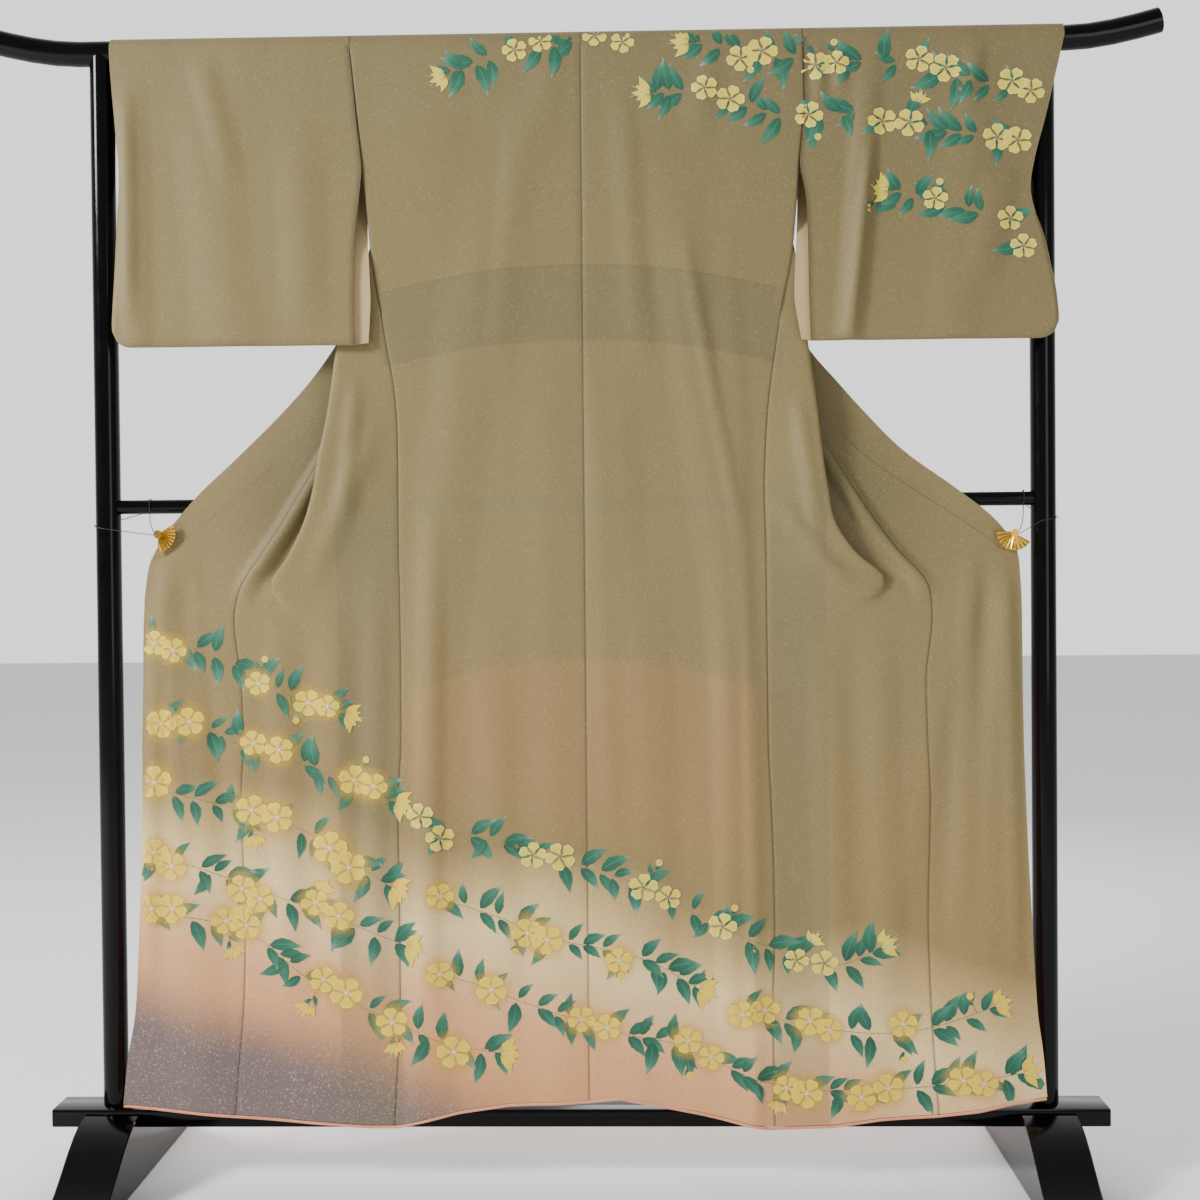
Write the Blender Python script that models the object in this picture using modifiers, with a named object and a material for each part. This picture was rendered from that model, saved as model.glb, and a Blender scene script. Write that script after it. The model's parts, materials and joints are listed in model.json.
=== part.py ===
"""Formal kimono hung by its sleeves on a lacquered stand, seen from its back. Metres, +Z up."""
import math

import bmesh
import bpy
import numpy as np

# Stand
RAIL_Z = 1.697
RAIL_R = 0.0187
POST_X = 0.7014
POST_R = 0.0187
MID_Z = 1.016
MID_R = 0.0107
BOARD_HALF_X = 0.79
BOARD_HALF_Y = 0.033
BOARD_LOW = 0.085
BOARD_TOP = 0.112
FOOT_X = 0.697
FOOT_WIDTH = 0.083
GAP = 0.0003
# Upturned half of the top rail: x, z
RAIL_ROWS = [(0.0, 1.697), (0.40, 1.697), (0.735, 1.697), (0.770, 1.6992), (0.805, 1.7045), (0.840, 1.7120), (0.875, 1.721)]
# Half profile of a foot from its toe on the floor up to the board: y, z
FOOT_ROWS = [(0.240, 0.0), (0.240, 0.007), (0.222, 0.014), (0.196, 0.024), (0.170, 0.0365), (0.142, 0.055),
             (0.115, 0.074), (0.088, 0.090), (0.062, 0.1005), (0.0336, 0.1055)]

# Cloth
CLOTH = 0.0012
SEAM = 0.0004
RAIL_WRAP = RAIL_R + GAP + 0.0005 + CLOTH / 2
CENTRE_X = 0.019
NECK_W = 0.088

# Body panel sections by height. All w are distances out from X = 0.
# z, side edge, turn 1, turn 2, overlap seam, collar seam, free edge
LEFT_ROWS = [
    (1.697, 0.325, 0.240, 0.165, 0.115, 0.115, 0.066),
    (1.600, 0.316, 0.252, 0.150, 0.128, 0.128, 0.120),
    (1.510, 0.307, 0.272, 0.138, 0.160, 0.160, 0.205),
    (1.440, 0.300, 0.288, 0.142, 0.196, 0.196, 0.250),
    (1.375, 0.294, 0.304, 0.152, 0.228, 0.228, 0.289),
    (1.300, 0.281, 0.334, 0.180, 0.266, 0.266, 0.330),
    (1.236, 0.270, 0.353, 0.208, 0.290, 0.302, 0.368),
    (1.197, 0.263, 0.358, 0.232, 0.312, 0.331, 0.397),
    (1.146, 0.258, 0.365, 0.262, 0.337, 0.378, 0.443),
    (1.086, 0.257, 0.377, 0.298, 0.374, 0.436, 0.503),
    (1.030, 0.257, 0.387, 0.335, 0.408, 0.497, 0.562),
    (0.984, 0.257, 0.401, 0.368, 0.436, 0.553, 0.601),
    (0.938, 0.257, 0.424, 0.402, 0.466, 0.607, 0.629),
    (0.897, 0.256, 0.448, 0.444, 0.492, 0.612, 0.636),
    (0.850, 0.2555, 0.380, 0.440, 0.503, 0.615, 0.6385),
    (0.750, 0.255, 0.335, 0.414, 0.493, 0.616, 0.640),
    (0.650, 0.256, 0.334, 0.412, 0.491, 0.618, 0.642),
    (0.580, 0.261, 0.339, 0.417, 0.495, 0.618, 0.642),
    (0.390, 0.260, 0.337, 0.414, 0.491, 0.625, 0.649),
    (0.250, 0.260, 0.339, 0.418, 0.496, 0.634, 0.658),
    (0.190, 0.264, 0.343, 0.422, 0.501, 0.642, 0.667),
    (0.090, 0.270, 0.349, 0.428, 0.508, 0.651, 0.676),
]
RIGHT_ROWS = [
    (1.697, 0.347, 0.250, 0.170, 0.115, 0.115, 0.066),
    (1.600, 0.349, 0.270, 0.155, 0.130, 0.130, 0.122),
    (1.510, 0.340, 0.295, 0.145, 0.162, 0.162, 0.207),
    (1.440, 0.335, 0.318, 0.152, 0.200, 0.200, 0.254),
    (1.375, 0.328, 0.336, 0.165, 0.232, 0.232, 0.293),
    (1.300, 0.313, 0.347, 0.190, 0.262, 0.262, 0.328),
    (1.236, 0.303, 0.356, 0.218, 0.292, 0.294, 0.360),
    (1.197, 0.297, 0.361, 0.242, 0.316, 0.327, 0.393),
    (1.146, 0.291, 0.367, 0.270, 0.345, 0.371, 0.437),
    (1.086, 0.287, 0.373, 0.302, 0.385, 0.429, 0.495),
    (1.030, 0.285, 0.381, 0.334, 0.420, 0.505, 0.571),
    (0.984, 0.286, 0.390, 0.362, 0.450, 0.575, 0.627),
    (0.938, 0.287, 0.420, 0.396, 0.484, 0.633, 0.657),
    (0.897, 0.287, 0.462, 0.454, 0.521, 0.636, 0.660),
    (0.850, 0.287, 0.400, 0.466, 0.530, 0.637, 0.661),
    (0.750, 0.2875, 0.365, 0.442, 0.520, 0.637, 0.661),
    (0.650, 0.288, 0.366, 0.444, 0.522, 0.638, 0.662),
    (0.580, 0.291, 0.369, 0.447, 0.525, 0.640, 0.664),
    (0.390, 0.295, 0.371, 0.446, 0.521, 0.648, 0.672),
    (0.250, 0.291, 0.368, 0.446, 0.525, 0.656, 0.680),
    (0.190, 0.292, 0.370, 0.448, 0.528, 0.662, 0.686),
    (0.090, 0.293, 0.373, 0.453, 0.534, 0.668, 0.692),
]
# Depth of the same points by height: z, back panel, front layer, middle layer, far layer, free edge
DEPTH_ROWS = [
    (1.697, -0.0210, 0.0210, 0.0210, 0.0212, 0.0214),
    (1.600, -0.0228, 0.0225, 0.0230, 0.0250, 0.0275),
    (1.510, -0.0245, 0.0215, 0.0170, 0.0250, 0.0290),
    (1.440, -0.0260, 0.0020, 0.0060, 0.0180, 0.0220),
    (1.375, -0.0275, -0.0275, -0.0030, 0.0130, 0.0170),
    (1.300, -0.0295, -0.0310, -0.0080, 0.0060, 0.0090),
    (1.236, -0.0310, -0.0345, -0.0130, -0.0005, 0.0010),
    (1.197, -0.0318, -0.0365, -0.0170, -0.0040, -0.0030),
    (1.146, -0.0330, -0.0390, -0.0210, -0.0090, -0.0080),
    (1.086, -0.0340, -0.0410, -0.0260, -0.0160, -0.0160),
    (1.030, -0.0350, -0.0425, -0.0290, -0.0200, -0.0200),
    (0.984, -0.0360, -0.0435, -0.0310, -0.0220, -0.0220),
    (0.938, -0.0370, -0.0440, -0.0330, -0.0270, -0.0260),
    (0.897, -0.0380, -0.0435, -0.0370, -0.0330, -0.0330),
    (0.850, -0.0390, -0.0410, -0.0405, -0.0385, -0.0370),
    (0.750, -0.0405, -0.0410, -0.0410, -0.0410, -0.0400),
    (0.090, -0.0480, -0.0480, -0.0480, -0.0480, -0.0480),
]
# Lower edge of the whole garment: x, z
HEM_ROWS = [(-0.670, 0.125), (-0.575, 0.116), (-0.505, 0.109), (-0.394, 0.100), (-0.312, 0.094), (-0.266, 0.094),
            (-0.228, 0.103), (-0.176, 0.115), (-0.100, 0.126), (0.019, 0.131), (0.066, 0.136), (0.122, 0.125),
            (0.184, 0.113), (0.255, 0.097), (0.287, 0.091), (0.377, 0.094), (0.448, 0.103), (0.532, 0.109),
            (0.593, 0.117), (0.634, 0.126), (0.692, 0.135)]
# Soft standing folds of the back: side, w at top, w at z = 0.85, z where it starts, height out, half width
BACK_FOLDS = [
    (-1, 0.120, 0.205, 1.50, 0.0050, 0.030),
    (-1, 0.040, 0.030, 1.30, 0.0030, 0.022),
    (1, 0.150, 0.235, 1.52, 0.0055, 0.026),
    (1, 0.225, 0.262, 1.46, 0.0030, 0.014),
    (1, 0.060, 0.075, 1.25, 0.0030, 0.024),
]
# Folds that run down from the clips: side, w at the clip, z there, w at the hem, height out, half width
CLIP_FOLDS = [
    (-1, 0.602, 0.950, 0.560, 0.0060, 0.012),
    (-1, 0.590, 0.930, 0.455, -0.0050, 0.014),
    (1, 0.632, 0.940, 0.600, 0.0060, 0.012),
    (1, 0.622, 0.925, 0.470, -0.0060, 0.015),
]
# Sleeves: z, inner edge w of front, outer edge of front, outer edge of far layer, front depth, far depth in,
# far depth out, inner edge w of far layer
SLEEVE_LEFT = [
    (1.697, 0.3256, 0.685, 0.685, -0.0210, 0.0210, 0.0210, 0.3256),
    (1.651, 0.3212, 0.682, 0.682, -0.0225, 0.0225, 0.0215, 0.3212),
    (1.577, 0.3142, 0.675, 0.675, -0.0250, 0.0235, 0.0205, 0.3142),
    (1.510, 0.3076, 0.669, 0.669, -0.0280, 0.0210, 0.0130, 0.3076),
    (1.470, 0.3110, 0.669, 0.669, -0.0315, 0.0080, -0.0200, 0.3050),
    (1.393, 0.3180, 0.6715, 0.6715, -0.0395, -0.0290, -0.0300, 0.2985),
    (1.345, 0.3185, 0.6730, 0.6730, -0.0435, -0.0365, -0.0355, 0.2955),
    (1.319, 0.3190, 0.674, 0.674, -0.0455, -0.0382, -0.0370, 0.2945),
    (1.253, 0.3180, 0.676, 0.676, -0.0490, -0.0420, -0.0410, 0.2975),
]
SLEEVE_RIGHT = [
    (1.697, 0.3476, 0.731, 0.731, -0.0210, 0.0210, 0.0210, 0.3476),
    (1.651, 0.3488, 0.720, 0.722, -0.0225, 0.0225, 0.0220, 0.3488),
    (1.577, 0.3470, 0.702, 0.702, -0.0250, 0.0235, 0.0215, 0.3470),
    (1.510, 0.3410, 0.684, 0.674, -0.0280, 0.0210, 0.0080, 0.3410),
    (1.470, 0.3480, 0.677, 0.671, -0.0325, 0.0080, -0.0225, 0.3400),
    (1.393, 0.3510, 0.695, 0.695, -0.0400, -0.0290, -0.0310, 0.3345),
    (1.345, 0.3510, 0.704, 0.704, -0.0440, -0.0365, -0.0360, 0.3315),
    (1.319, 0.3510, 0.708, 0.708, -0.0460, -0.0382, -0.0372, 0.3305),
    (1.251, 0.3530, 0.713, 0.713, -0.0495, -0.0420, -0.0410, 0.3400),
]
SLEEVE_CLOSED_Z = 1.475
SLEEVE_CORNER = 0.030
# Standing folds of the sleeves: side, w at the top, w at the bottom, height out, half width
SLEEVE_FOLDS = [(-1, 0.560, 0.500, 0.0040, 0.030), (-1, 0.655, 0.640, 0.0035, 0.016),
                (1, 0.450, 0.408, 0.0070, 0.013), (1, 0.610, 0.560, 0.0040, 0.026)]
# Clips: side, pivot x, fan depth, pivot z, first and last angle of the fan in degrees
CLIPS = [(-1, -0.6175, -0.0301, 0.974, -92.0, 34.0), (1, 0.652, -0.0312, 0.964, -192.0, -30.0)]
FAN_R = 0.026
JAW_BACK = 0.0112
COLLAR_END_Z = 0.938
COLLAR_LAP = 0.0018
# Half thickness of a turned fold, and how far its turn reaches
FOLD_R = 0.0030
FOLD_TIP = 0.008
OVERLAP_TOP_Z = 1.215


def lookup(rows, z, column):
    """Value of a table column at height z, eased between the rows."""
    zs = np.array([r[0] for r in rows])[::-1]
    vs = np.array([r[column] for r in rows])[::-1]
    slope = np.gradient(vs, zs)
    k = int(np.clip(np.searchsorted(zs, z) - 1, 0, len(zs) - 2))
    h = zs[k + 1] - zs[k]
    t = min(max((z - zs[k]) / h, 0.0), 1.0)
    step = vs[k + 1] - vs[k]
    m0 = slope[k] * h
    m1 = slope[k + 1] * h
    if m0 * step <= 0:
        m0 = 0.0
    if m1 * step <= 0:
        m1 = 0.0
    m0 = max(min(m0, 3 * abs(step)), -3 * abs(step))
    m1 = max(min(m1, 3 * abs(step)), -3 * abs(step))
    a = 2 * t ** 3 - 3 * t ** 2 + 1
    b = t ** 3 - 2 * t ** 2 + t
    c = -2 * t ** 3 + 3 * t ** 2
    d = t ** 3 - t ** 2
    return a * vs[k] + b * m0 + c * vs[k + 1] + d * m1


def hem_z(x):
    """Height of the lower edge at x."""
    return float(np.interp(x, [r[0] for r in HEM_ROWS], [r[1] for r in HEM_ROWS]))


def settle(x, z):
    """Height of a row point once the rows near the floor follow the hem."""
    if z >= 0.25:
        return z
    return z + (hem_z(x) - 0.09) * (0.25 - z) / 0.16


def bump(d, half):
    """Smooth ridge profile: 1 on its line, 0 beyond twice the half width."""
    t = min(abs(d) / (2 * half), 1.0)
    return (1 - t * t) ** 2


def back_relief(side, w, z):
    """How far the folds stand out of the back panel, towards the camera."""
    out = 0.0
    for s, top, low, start, height, half in BACK_FOLDS:
        if s != side or z > start:
            continue
        t = (start - z) / (start - 0.85)
        line = top + (low - top) * min(t, 1.25)
        rise = min((start - z) / 0.18, 1.0)
        out += height * rise * bump(w - line, half)
    edge = min(1.0, max(0.0, (lookup(side_rows(side), z, 1) - w) / 0.03))
    return out * edge


def clip_relief(side, w, z):
    """How far the folds below a clip stand out."""
    out = 0.0
    for s, top, z_top, low, height, half in CLIP_FOLDS:
        if s != side or z > z_top:
            continue
        t = (z_top - z) / (z_top - 0.09)
        line = top + (low - top) * t
        rise = min((z_top - z) / 0.06, 1.0) * (1.0 - 0.45 * t)
        out += height * rise * bump(w - line, half * (1 + 1.6 * t))
    edge = min(1.0, max(0.0, (lookup(side_rows(side), z, 6) - w) / 0.012))
    return out * edge


def side_rows(side):
    """Section table of one side of the garment."""
    return LEFT_ROWS if side < 0 else RIGHT_ROWS


def front_section(side, z):
    """Section points of the front panel from the side seam to its last seam: w, y."""
    rows = side_rows(side)
    s, f1, f2, n = (lookup(rows, z, k) for k in (1, 2, 3, 4))
    back, ya, yb, yc = (lookup(DEPTH_ROWS, z, k) for k in (1, 2, 3, 4))
    start = ya
    if z <= 1.375:
        start = back
    one, two, three = (max(-FOLD_TIP, min(FOLD_TIP, d / 4)) for d in (f1 - s, f2 - f1, n - f2))
    r1 = FOLD_R * min(1.0, max(0.0, -4 * one * two) / FOLD_TIP ** 2)
    r2 = FOLD_R * min(1.0, max(0.0, -4 * two * three) / FOLD_TIP ** 2)
    a = [(s + (SEAM / 2 if z <= 1.375 else 0.0), start)]
    a.append((f1 - one, ya))
    a.append((f1, ya + r1))
    a.append((f1 + two, ya + 2 * r1))
    a.append((f2 - two, yb))
    a.append((f2, yb + r2))
    a.append((f2 + three, yb + 2 * r2))
    a.append((n - SEAM / 2 if f2 < n else n + SEAM / 2, yc))
    return a


def along(points, counts):
    """Evenly spread points on each leg of a section."""
    out = [points[0]]
    for (a, b), n in zip(zip(points, points[1:]), counts):
        for k in range(1, n + 1):
            t = k / n
            out.append((a[0] + (b[0] - a[0]) * t, a[1] + (b[1] - a[1]) * t))
    return out


def heights(step_near, step_far):
    """Row heights from hem to shoulder, closer where the drape folds lie."""
    out = [0.09]
    while out[-1] < RAIL_Z - 1e-6:
        z = out[-1]
        step = step_near if 0.86 <= z < 1.42 else step_far
        out.append(min(z + step, RAIL_Z))
    if out[-1] - out[-2] < 0.4 * step_far:
        del out[-2]
    ends = [COLLAR_END_Z, COLLAR_END_Z + 0.002]
    out = [z for z in out if abs(z - ends[0]) > 0.4 * step_near] + ends
    return sorted(out)


def body_grid(side, counts, step_near, step_far, arc, inner):
    """Grid of a body panel from the back hem over the rail to the front hem."""
    total = sum(counts)
    rows = side_rows(side)
    grid = []
    for z in heights(step_near, step_far):
        s = lookup(rows, z, 1) - (SEAM / 2 if z <= 1.375 else 0.0)
        y = lookup(DEPTH_ROWS, z, 1)
        shift = side * CENTRE_X
        ws = [shift + SEAM / 2 + (NECK_W - shift) * k / inner for k in range(inner)]
        ws += [NECK_W + (s - NECK_W) * k / total for k in range(total + 1)]
        grid.append([(side * w, y - back_relief(side, w, z), settle(side * w, z)) for w in ws])
    widths = [p[0] for p in grid[-1]]
    neck = len(grid) - 1
    for k in range(1, arc + 1):
        a = math.pi * k / arc
        y = -RAIL_WRAP * math.cos(a)
        z = RAIL_Z + RAIL_WRAP * math.sin(a)
        grid.append([(x, y, z) for x in widths])
    grid[neck] = [(x, -RAIL_WRAP, RAIL_Z) for x in widths]
    front = []
    for z in reversed(heights(step_near, step_far)[:-1]):
        pts = along(front_section(side, z), counts)[::-1]
        line = []
        for w, y in pts:
            if z < 0.95:
                y -= clip_relief(side, w, z)
            line.append((side * w, y, settle(side * w, z)))
        front.append(line)
    return grid, front


def mesh_object(name, verts, faces):
    """New object from vertices and faces."""
    mesh = bpy.data.meshes.new(name)
    mesh.from_pydata(verts, [], faces)
    mesh.validate()
    obj = bpy.data.objects.new(name, mesh)
    COLLECTION.objects.link(obj)
    return obj


def thicken(obj, amount):
    """Give a sheet its cloth thickness with an applied Solidify."""
    bm = bmesh.new()
    bm.from_mesh(obj.data)
    bmesh.ops.recalc_face_normals(bm, faces=bm.faces)
    bm.to_mesh(obj.data)
    bm.free()
    mod = obj.modifiers.new("cloth", 'SOLIDIFY')
    mod.thickness = amount
    mod.offset = 0.0
    apply_all(obj)


def apply_all(obj):
    """Apply every modifier of an object."""
    bpy.ops.object.select_all(action='DESELECT')
    obj.select_set(True)
    bpy.context.view_layer.objects.active = obj
    for mod in list(obj.modifiers):
        bpy.ops.object.modifier_apply(modifier=mod.name)


def outward(obj):
    """Turn all faces of a closed body outwards."""
    bm = bmesh.new()
    bm.from_mesh(obj.data)
    bmesh.ops.recalc_face_normals(bm, faces=bm.faces)
    if bm.calc_volume(signed=True) < 0:
        bmesh.ops.reverse_faces(bm, faces=bm.faces)
    bm.to_mesh(obj.data)
    bm.free()


def strip_faces(first, second):
    """Quads between two index rows of the same length."""
    return [(first[k], first[k + 1], second[k + 1], second[k]) for k in range(len(first) - 1)]


def sheet(name, lines):
    """Thickened sheet through rows of points of the same length."""
    verts = []
    index = []
    for line in lines:
        index.append(list(range(len(verts), len(verts) + len(line))))
        verts += line
    faces = []
    for a, b in zip(index, index[1:]):
        faces += strip_faces(a, b)
    obj = mesh_object(name, verts, faces)
    thicken(obj, CLOTH)
    return obj


def body_panel(side, counts=(2, 1, 1, 3, 1, 1, 3), step_near=0.044, step_far=0.105, arc=8, inner=2):
    """Back, shoulder and front lengths of one side, parted where the cloth meets and leaves the rail."""
    tag = "left" if side < 0 else "right"
    grid, front = body_grid(side, counts, step_near, step_far, arc, inner)
    neck = len(grid) - 1 - arc
    back = grid[:neck] + [[(x, y, z - SEAM) for x, y, z in grid[neck]]]
    first = [(x, y, z - SEAM) for x, y, z in grid[-1][inner:]]
    return [sheet("back_" + tag, back), sheet("shoulder_" + tag, grid[neck:]),
            sheet("front_" + tag, [first] + front)]


def overlap_panel(side, columns=4, step_near=0.044, step_far=0.105):
    """Overlap panel between its seam and the free front edge."""
    rows = side_rows(side)
    verts = []
    index = []
    for z in heights(step_near, step_far):
        if z > OVERLAP_TOP_Z:
            break
        n = lookup(rows, z, 4) + SEAM / 2
        end = lookup(rows, z, 5) - SEAM / 2 if z > COLLAR_END_Z else lookup(rows, z, 6)
        y0 = lookup(DEPTH_ROWS, z, 4)
        y1 = lookup(DEPTH_ROWS, z, 5)
        line = []
        for k in range(columns + 1):
            w = n + (end - n) * k / columns
            y = y0 + (y1 - y0) * (w - n) / (lookup(rows, z, 6) - n)
            if z < 0.95:
                y -= clip_relief(side, w, z)
            line.append((side * w, y, settle(side * w, z)))
        index.append(list(range(len(verts), len(verts) + len(line))))
        verts += line
    faces = []
    for a, b in zip(index, index[1:]):
        faces += strip_faces(a, b)
    obj = mesh_object("overlap_left" if side < 0 else "overlap_right", verts, faces)
    thicken(obj, CLOTH)
    return obj


def collar_line(step_near, step_far):
    """Collar from the left clip round the neck to the right clip: pairs of seam and free edge points."""
    out = []
    for side in (-1, 1):
        part = []
        for z in heights(step_near, step_far):
            if z <= COLLAR_END_Z + 0.001 or z > 1.66:
                continue
            rows = side_rows(side)
            w0 = lookup(rows, z, 5)
            w1 = lookup(rows, z, 6)
            y0 = lookup(DEPTH_ROWS, z, 4)
            y1 = lookup(DEPTH_ROWS, z, 5)
            if z < OVERLAP_TOP_Z:
                n = lookup(rows, z, 4)
                y0 += (y1 - y0) * (w0 - n) / (w1 - n)
            part.append(((side * w0, y0 + COLLAR_LAP, z), (side * w1, y1 + COLLAR_LAP, z)))
        out.append(part)
    return out


def collar(columns=2, step_near=0.044, step_far=0.105):
    """Neck band: down both free edges and across behind the neck."""
    left, right = collar_line(step_near, step_far)
    across = []
    for x in (-0.060, -0.030, 0.0, 0.030, 0.060):
        drop = 0.010 * (1 - (abs(x) / 0.066) ** 2)
        across.append(((x * 0.8, 0.0285, 1.640 - drop), (x, 0.0245, 1.692)))
    pairs = left + across + right[::-1]
    verts = []
    index = []
    for a, b in pairs:
        index.append(list(range(len(verts), len(verts) + columns + 1)))
        for k in range(columns + 1):
            t = k / columns
            verts.append(tuple(a[i] + (b[i] - a[i]) * t for i in range(3)))
    faces = []
    for p, q in zip(index, index[1:]):
        faces += strip_faces(p, q)
    obj = mesh_object("collar", verts, faces)
    thicken(obj, CLOTH)
    return obj


def armhole_w(side, z, step_near, step_far):
    """Side edge of the body panel at z as its rows draw it."""
    zs = heights(step_near, step_far)
    return float(np.interp(z, zs, [lookup(side_rows(side), k, 1) for k in zs]))


def sleeve(side, rows_n=9, columns=9, arc=8, step_near=0.044, step_far=0.105):
    """Sleeve as a bag over the rail: cuff open above, sewn below, body side open."""
    table = SLEEVE_LEFT if side < 0 else SLEEVE_RIGHT
    top = table[0][0]
    low = table[-1][0]
    front = []
    far = []
    closed = []
    for i in range(rows_n + 1):
        z = low + (top - low) * i / rows_n
        if abs(z - SLEEVE_CLOSED_Z) < (top - low) / rows_n / 2:
            z = SLEEVE_CLOSED_Z
        inner, outer_a, outer_b, ya, yb, yc, inner_b = (lookup(table, z, k) for k in range(1, 8))
        least = armhole_w(side, z, step_near, step_far) + SEAM
        rows_out = []
        for first, outer, layer in ((inner, outer_a, 0), (inner_b, outer_b, 1)):
            first = max(first, least)
            line = []
            for j in range(columns + 1):
                t = j / columns
                w = first + SEAM / 2 + (outer - first - SEAM / 2) * t
                corner = max(0.0, (w - (outer - SLEEVE_CORNER)) / SLEEVE_CORNER)
                lift = SLEEVE_CORNER * 0.75 * (1 - math.sqrt(max(0.0, 1 - corner * corner)))
                fall = max(0.0, 1 - (z - low) / 0.10)
                zz = z + lift * fall
                if layer == 0:
                    y = ya
                    drop = (top - z) / (top - low)
                    for s, w_top, w_low, height, half in SLEEVE_FOLDS:
                        if s == side:
                            line_w = w_top + (w_low - w_top) * drop
                            y -= height * min(1.0, drop * 3) * bump(w - line_w, half)
                else:
                    y = yb + (yc - yb) * min(1.0, max(0.0, (t - 0.2) / 0.7))
                line.append((side * w, y, zz))
            rows_out.append(line)
        front.append(rows_out[0])
        far.append(rows_out[1])
        closed.append(z <= SLEEVE_CLOSED_Z + 1e-6)
    widths = [p[0] for p in front[-1]]
    front[-1] = [(x, -RAIL_WRAP, RAIL_Z) for x in widths]
    far[-1] = [(x, RAIL_WRAP, RAIL_Z) for x in widths]
    verts = []

    def add(line):
        first = len(verts)
        verts.extend(line)
        return list(range(first, first + len(line)))

    front_index = [add(line) for line in front]
    arc_index = []
    for k in range(1, arc):
        a = math.pi * k / arc
        arc_index.append(add([(x, -RAIL_WRAP * math.cos(a), RAIL_Z + RAIL_WRAP * math.sin(a)) for x in widths]))
    far_index = [add(line) for line in far]
    loop = front_index + arc_index + far_index[::-1]
    faces = []
    for a, b in zip(loop, loop[1:]):
        faces += strip_faces(a, b)
    under = []
    for j in range(columns):
        a = front[0][j]
        b = far[0][j]
        under.append((a[0], (a[1] + b[1]) / 2, min(a[2], b[2]) - 0.003))
    a = front[0][-1]
    b = far[0][-1]
    under.append((a[0] + side * 0.0015, (a[1] + b[1]) / 2, min(a[2], b[2]) - 0.001))
    under_index = add(under)
    faces += strip_faces(front_index[0], under_index)
    faces += strip_faces(under_index, far_index[0])
    edge = [under_index[-1]]
    for i in range(1, rows_n + 1):
        if closed[i]:
            a = front[i][-1]
            b = far[i][-1]
            edge += add([((a[0] + b[0]) / 2 + side * 0.0025, (a[1] + b[1]) / 2, (a[2] + b[2]) / 2)])
    count = len(edge)
    faces += strip_faces([front_index[i][-1] for i in range(count)], edge)
    faces += strip_faces(edge, [far_index[i][-1] for i in range(count)])
    obj = mesh_object("sleeve_left" if side < 0 else "sleeve_right", verts, faces)
    thicken(obj, CLOTH)
    return obj


def tube(name, points, radius, sides):
    """Round tube along a path as a bevelled curve turned to a mesh."""
    curve = bpy.data.curves.new(name, 'CURVE')
    curve.dimensions = '3D'
    curve.bevel_depth = radius
    curve.bevel_resolution = max(0, sides // 4 - 1)
    curve.use_fill_caps = True
    spline = curve.splines.new('POLY')
    spline.points.add(len(points) - 1)
    for p, q in zip(spline.points, points):
        p.co = (*q, 1.0)
    holder = bpy.data.objects.new(name + "_path", curve)
    COLLECTION.objects.link(holder)
    bpy.ops.object.select_all(action='DESELECT')
    holder.select_set(True)
    bpy.context.view_layer.objects.active = holder
    bpy.ops.object.convert(target='MESH')
    obj = bpy.context.view_layer.objects.active
    obj.name = name
    obj.data.name = name
    bm = bmesh.new()
    bm.from_mesh(obj.data)
    bmesh.ops.remove_doubles(bm, verts=bm.verts, dist=0.00001)
    bm.to_mesh(obj.data)
    bm.free()
    outward(obj)
    return obj


def hem_roll(side, steps=22):
    """Rolled lip of the lining just below the cloth's lower edge."""
    rows = side_rows(side)
    outer = lookup(rows, 0.09, 6)
    start = side * CENTRE_X + SEAM
    points = []
    for k in range(steps + 1):
        w = start + (outer - 0.001 - start) * k / steps
        y = lookup(DEPTH_ROWS, 0.09, 1)
        if w < lookup(rows, 0.09, 1):
            y -= back_relief(side, w, 0.09)
        else:
            y -= clip_relief(side, w, 0.09)
        points.append((side * w, y, hem_z(side * w) - 0.0030))
    return tube("hem_roll_left" if side < 0 else "hem_roll_right", points, 0.0021, 8)


def bar(name, radius, length, location, axis, sides=28, bevel=0.0):
    """Cylinder with its ends eased."""
    rotation = {'Z': (0, 0, 0), 'X': (0, math.pi / 2, 0), 'Y': (math.pi / 2, 0, 0)}[axis]
    bpy.ops.mesh.primitive_cylinder_add(vertices=sides, radius=radius, depth=length, location=location,
                                        rotation=rotation)
    obj = bpy.context.active_object
    obj.name = name
    obj.data.name = name
    bpy.ops.object.transform_apply(location=True, rotation=True, scale=True)
    if bevel:
        mod = obj.modifiers.new("edge", 'BEVEL')
        mod.width = bevel
        mod.segments = 2
        mod.limit_method = 'ANGLE'
        mod.angle_limit = math.radians(60)
        apply_all(obj)
    move_in(obj)
    return obj


def move_in(obj):
    """Put an object in the part's collection alone."""
    for group in list(obj.users_collection):
        group.objects.unlink(obj)
    COLLECTION.objects.link(obj)


def cut(obj, cutter):
    """Subtract a cutter with an exact boolean and remove the cutter."""
    mod = obj.modifiers.new("cut", 'BOOLEAN')
    mod.operation = 'DIFFERENCE'
    mod.solver = 'EXACT'
    mod.object = cutter
    apply_all(obj)
    bpy.data.objects.remove(cutter, do_unlink=True)


def top_rail():
    """Round rail with both ends turned up."""
    half = [(x, 0.0, z) for x, z in RAIL_ROWS]
    points = [(-x, y, z) for x, y, z in half[:0:-1]] + half
    return tube("top_rail", points, RAIL_R, 24)


def posts():
    """Two posts hollowed on top to seat the rail."""
    out = []
    for side in (-1, 1):
        low = BOARD_TOP + GAP
        high = RAIL_Z - 0.004
        obj = bar("post_left" if side < 0 else "post_right", POST_R, high - low,
                  (side * POST_X, 0, (low + high) / 2), 'Z', 24)
        cutter = bar("saddle", RAIL_R + GAP + 0.0002, 0.2, (side * POST_X, 0, RAIL_Z + 0.0003), 'X', 48)
        cut(obj, cutter)
        out.append(obj)
    return out


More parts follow.
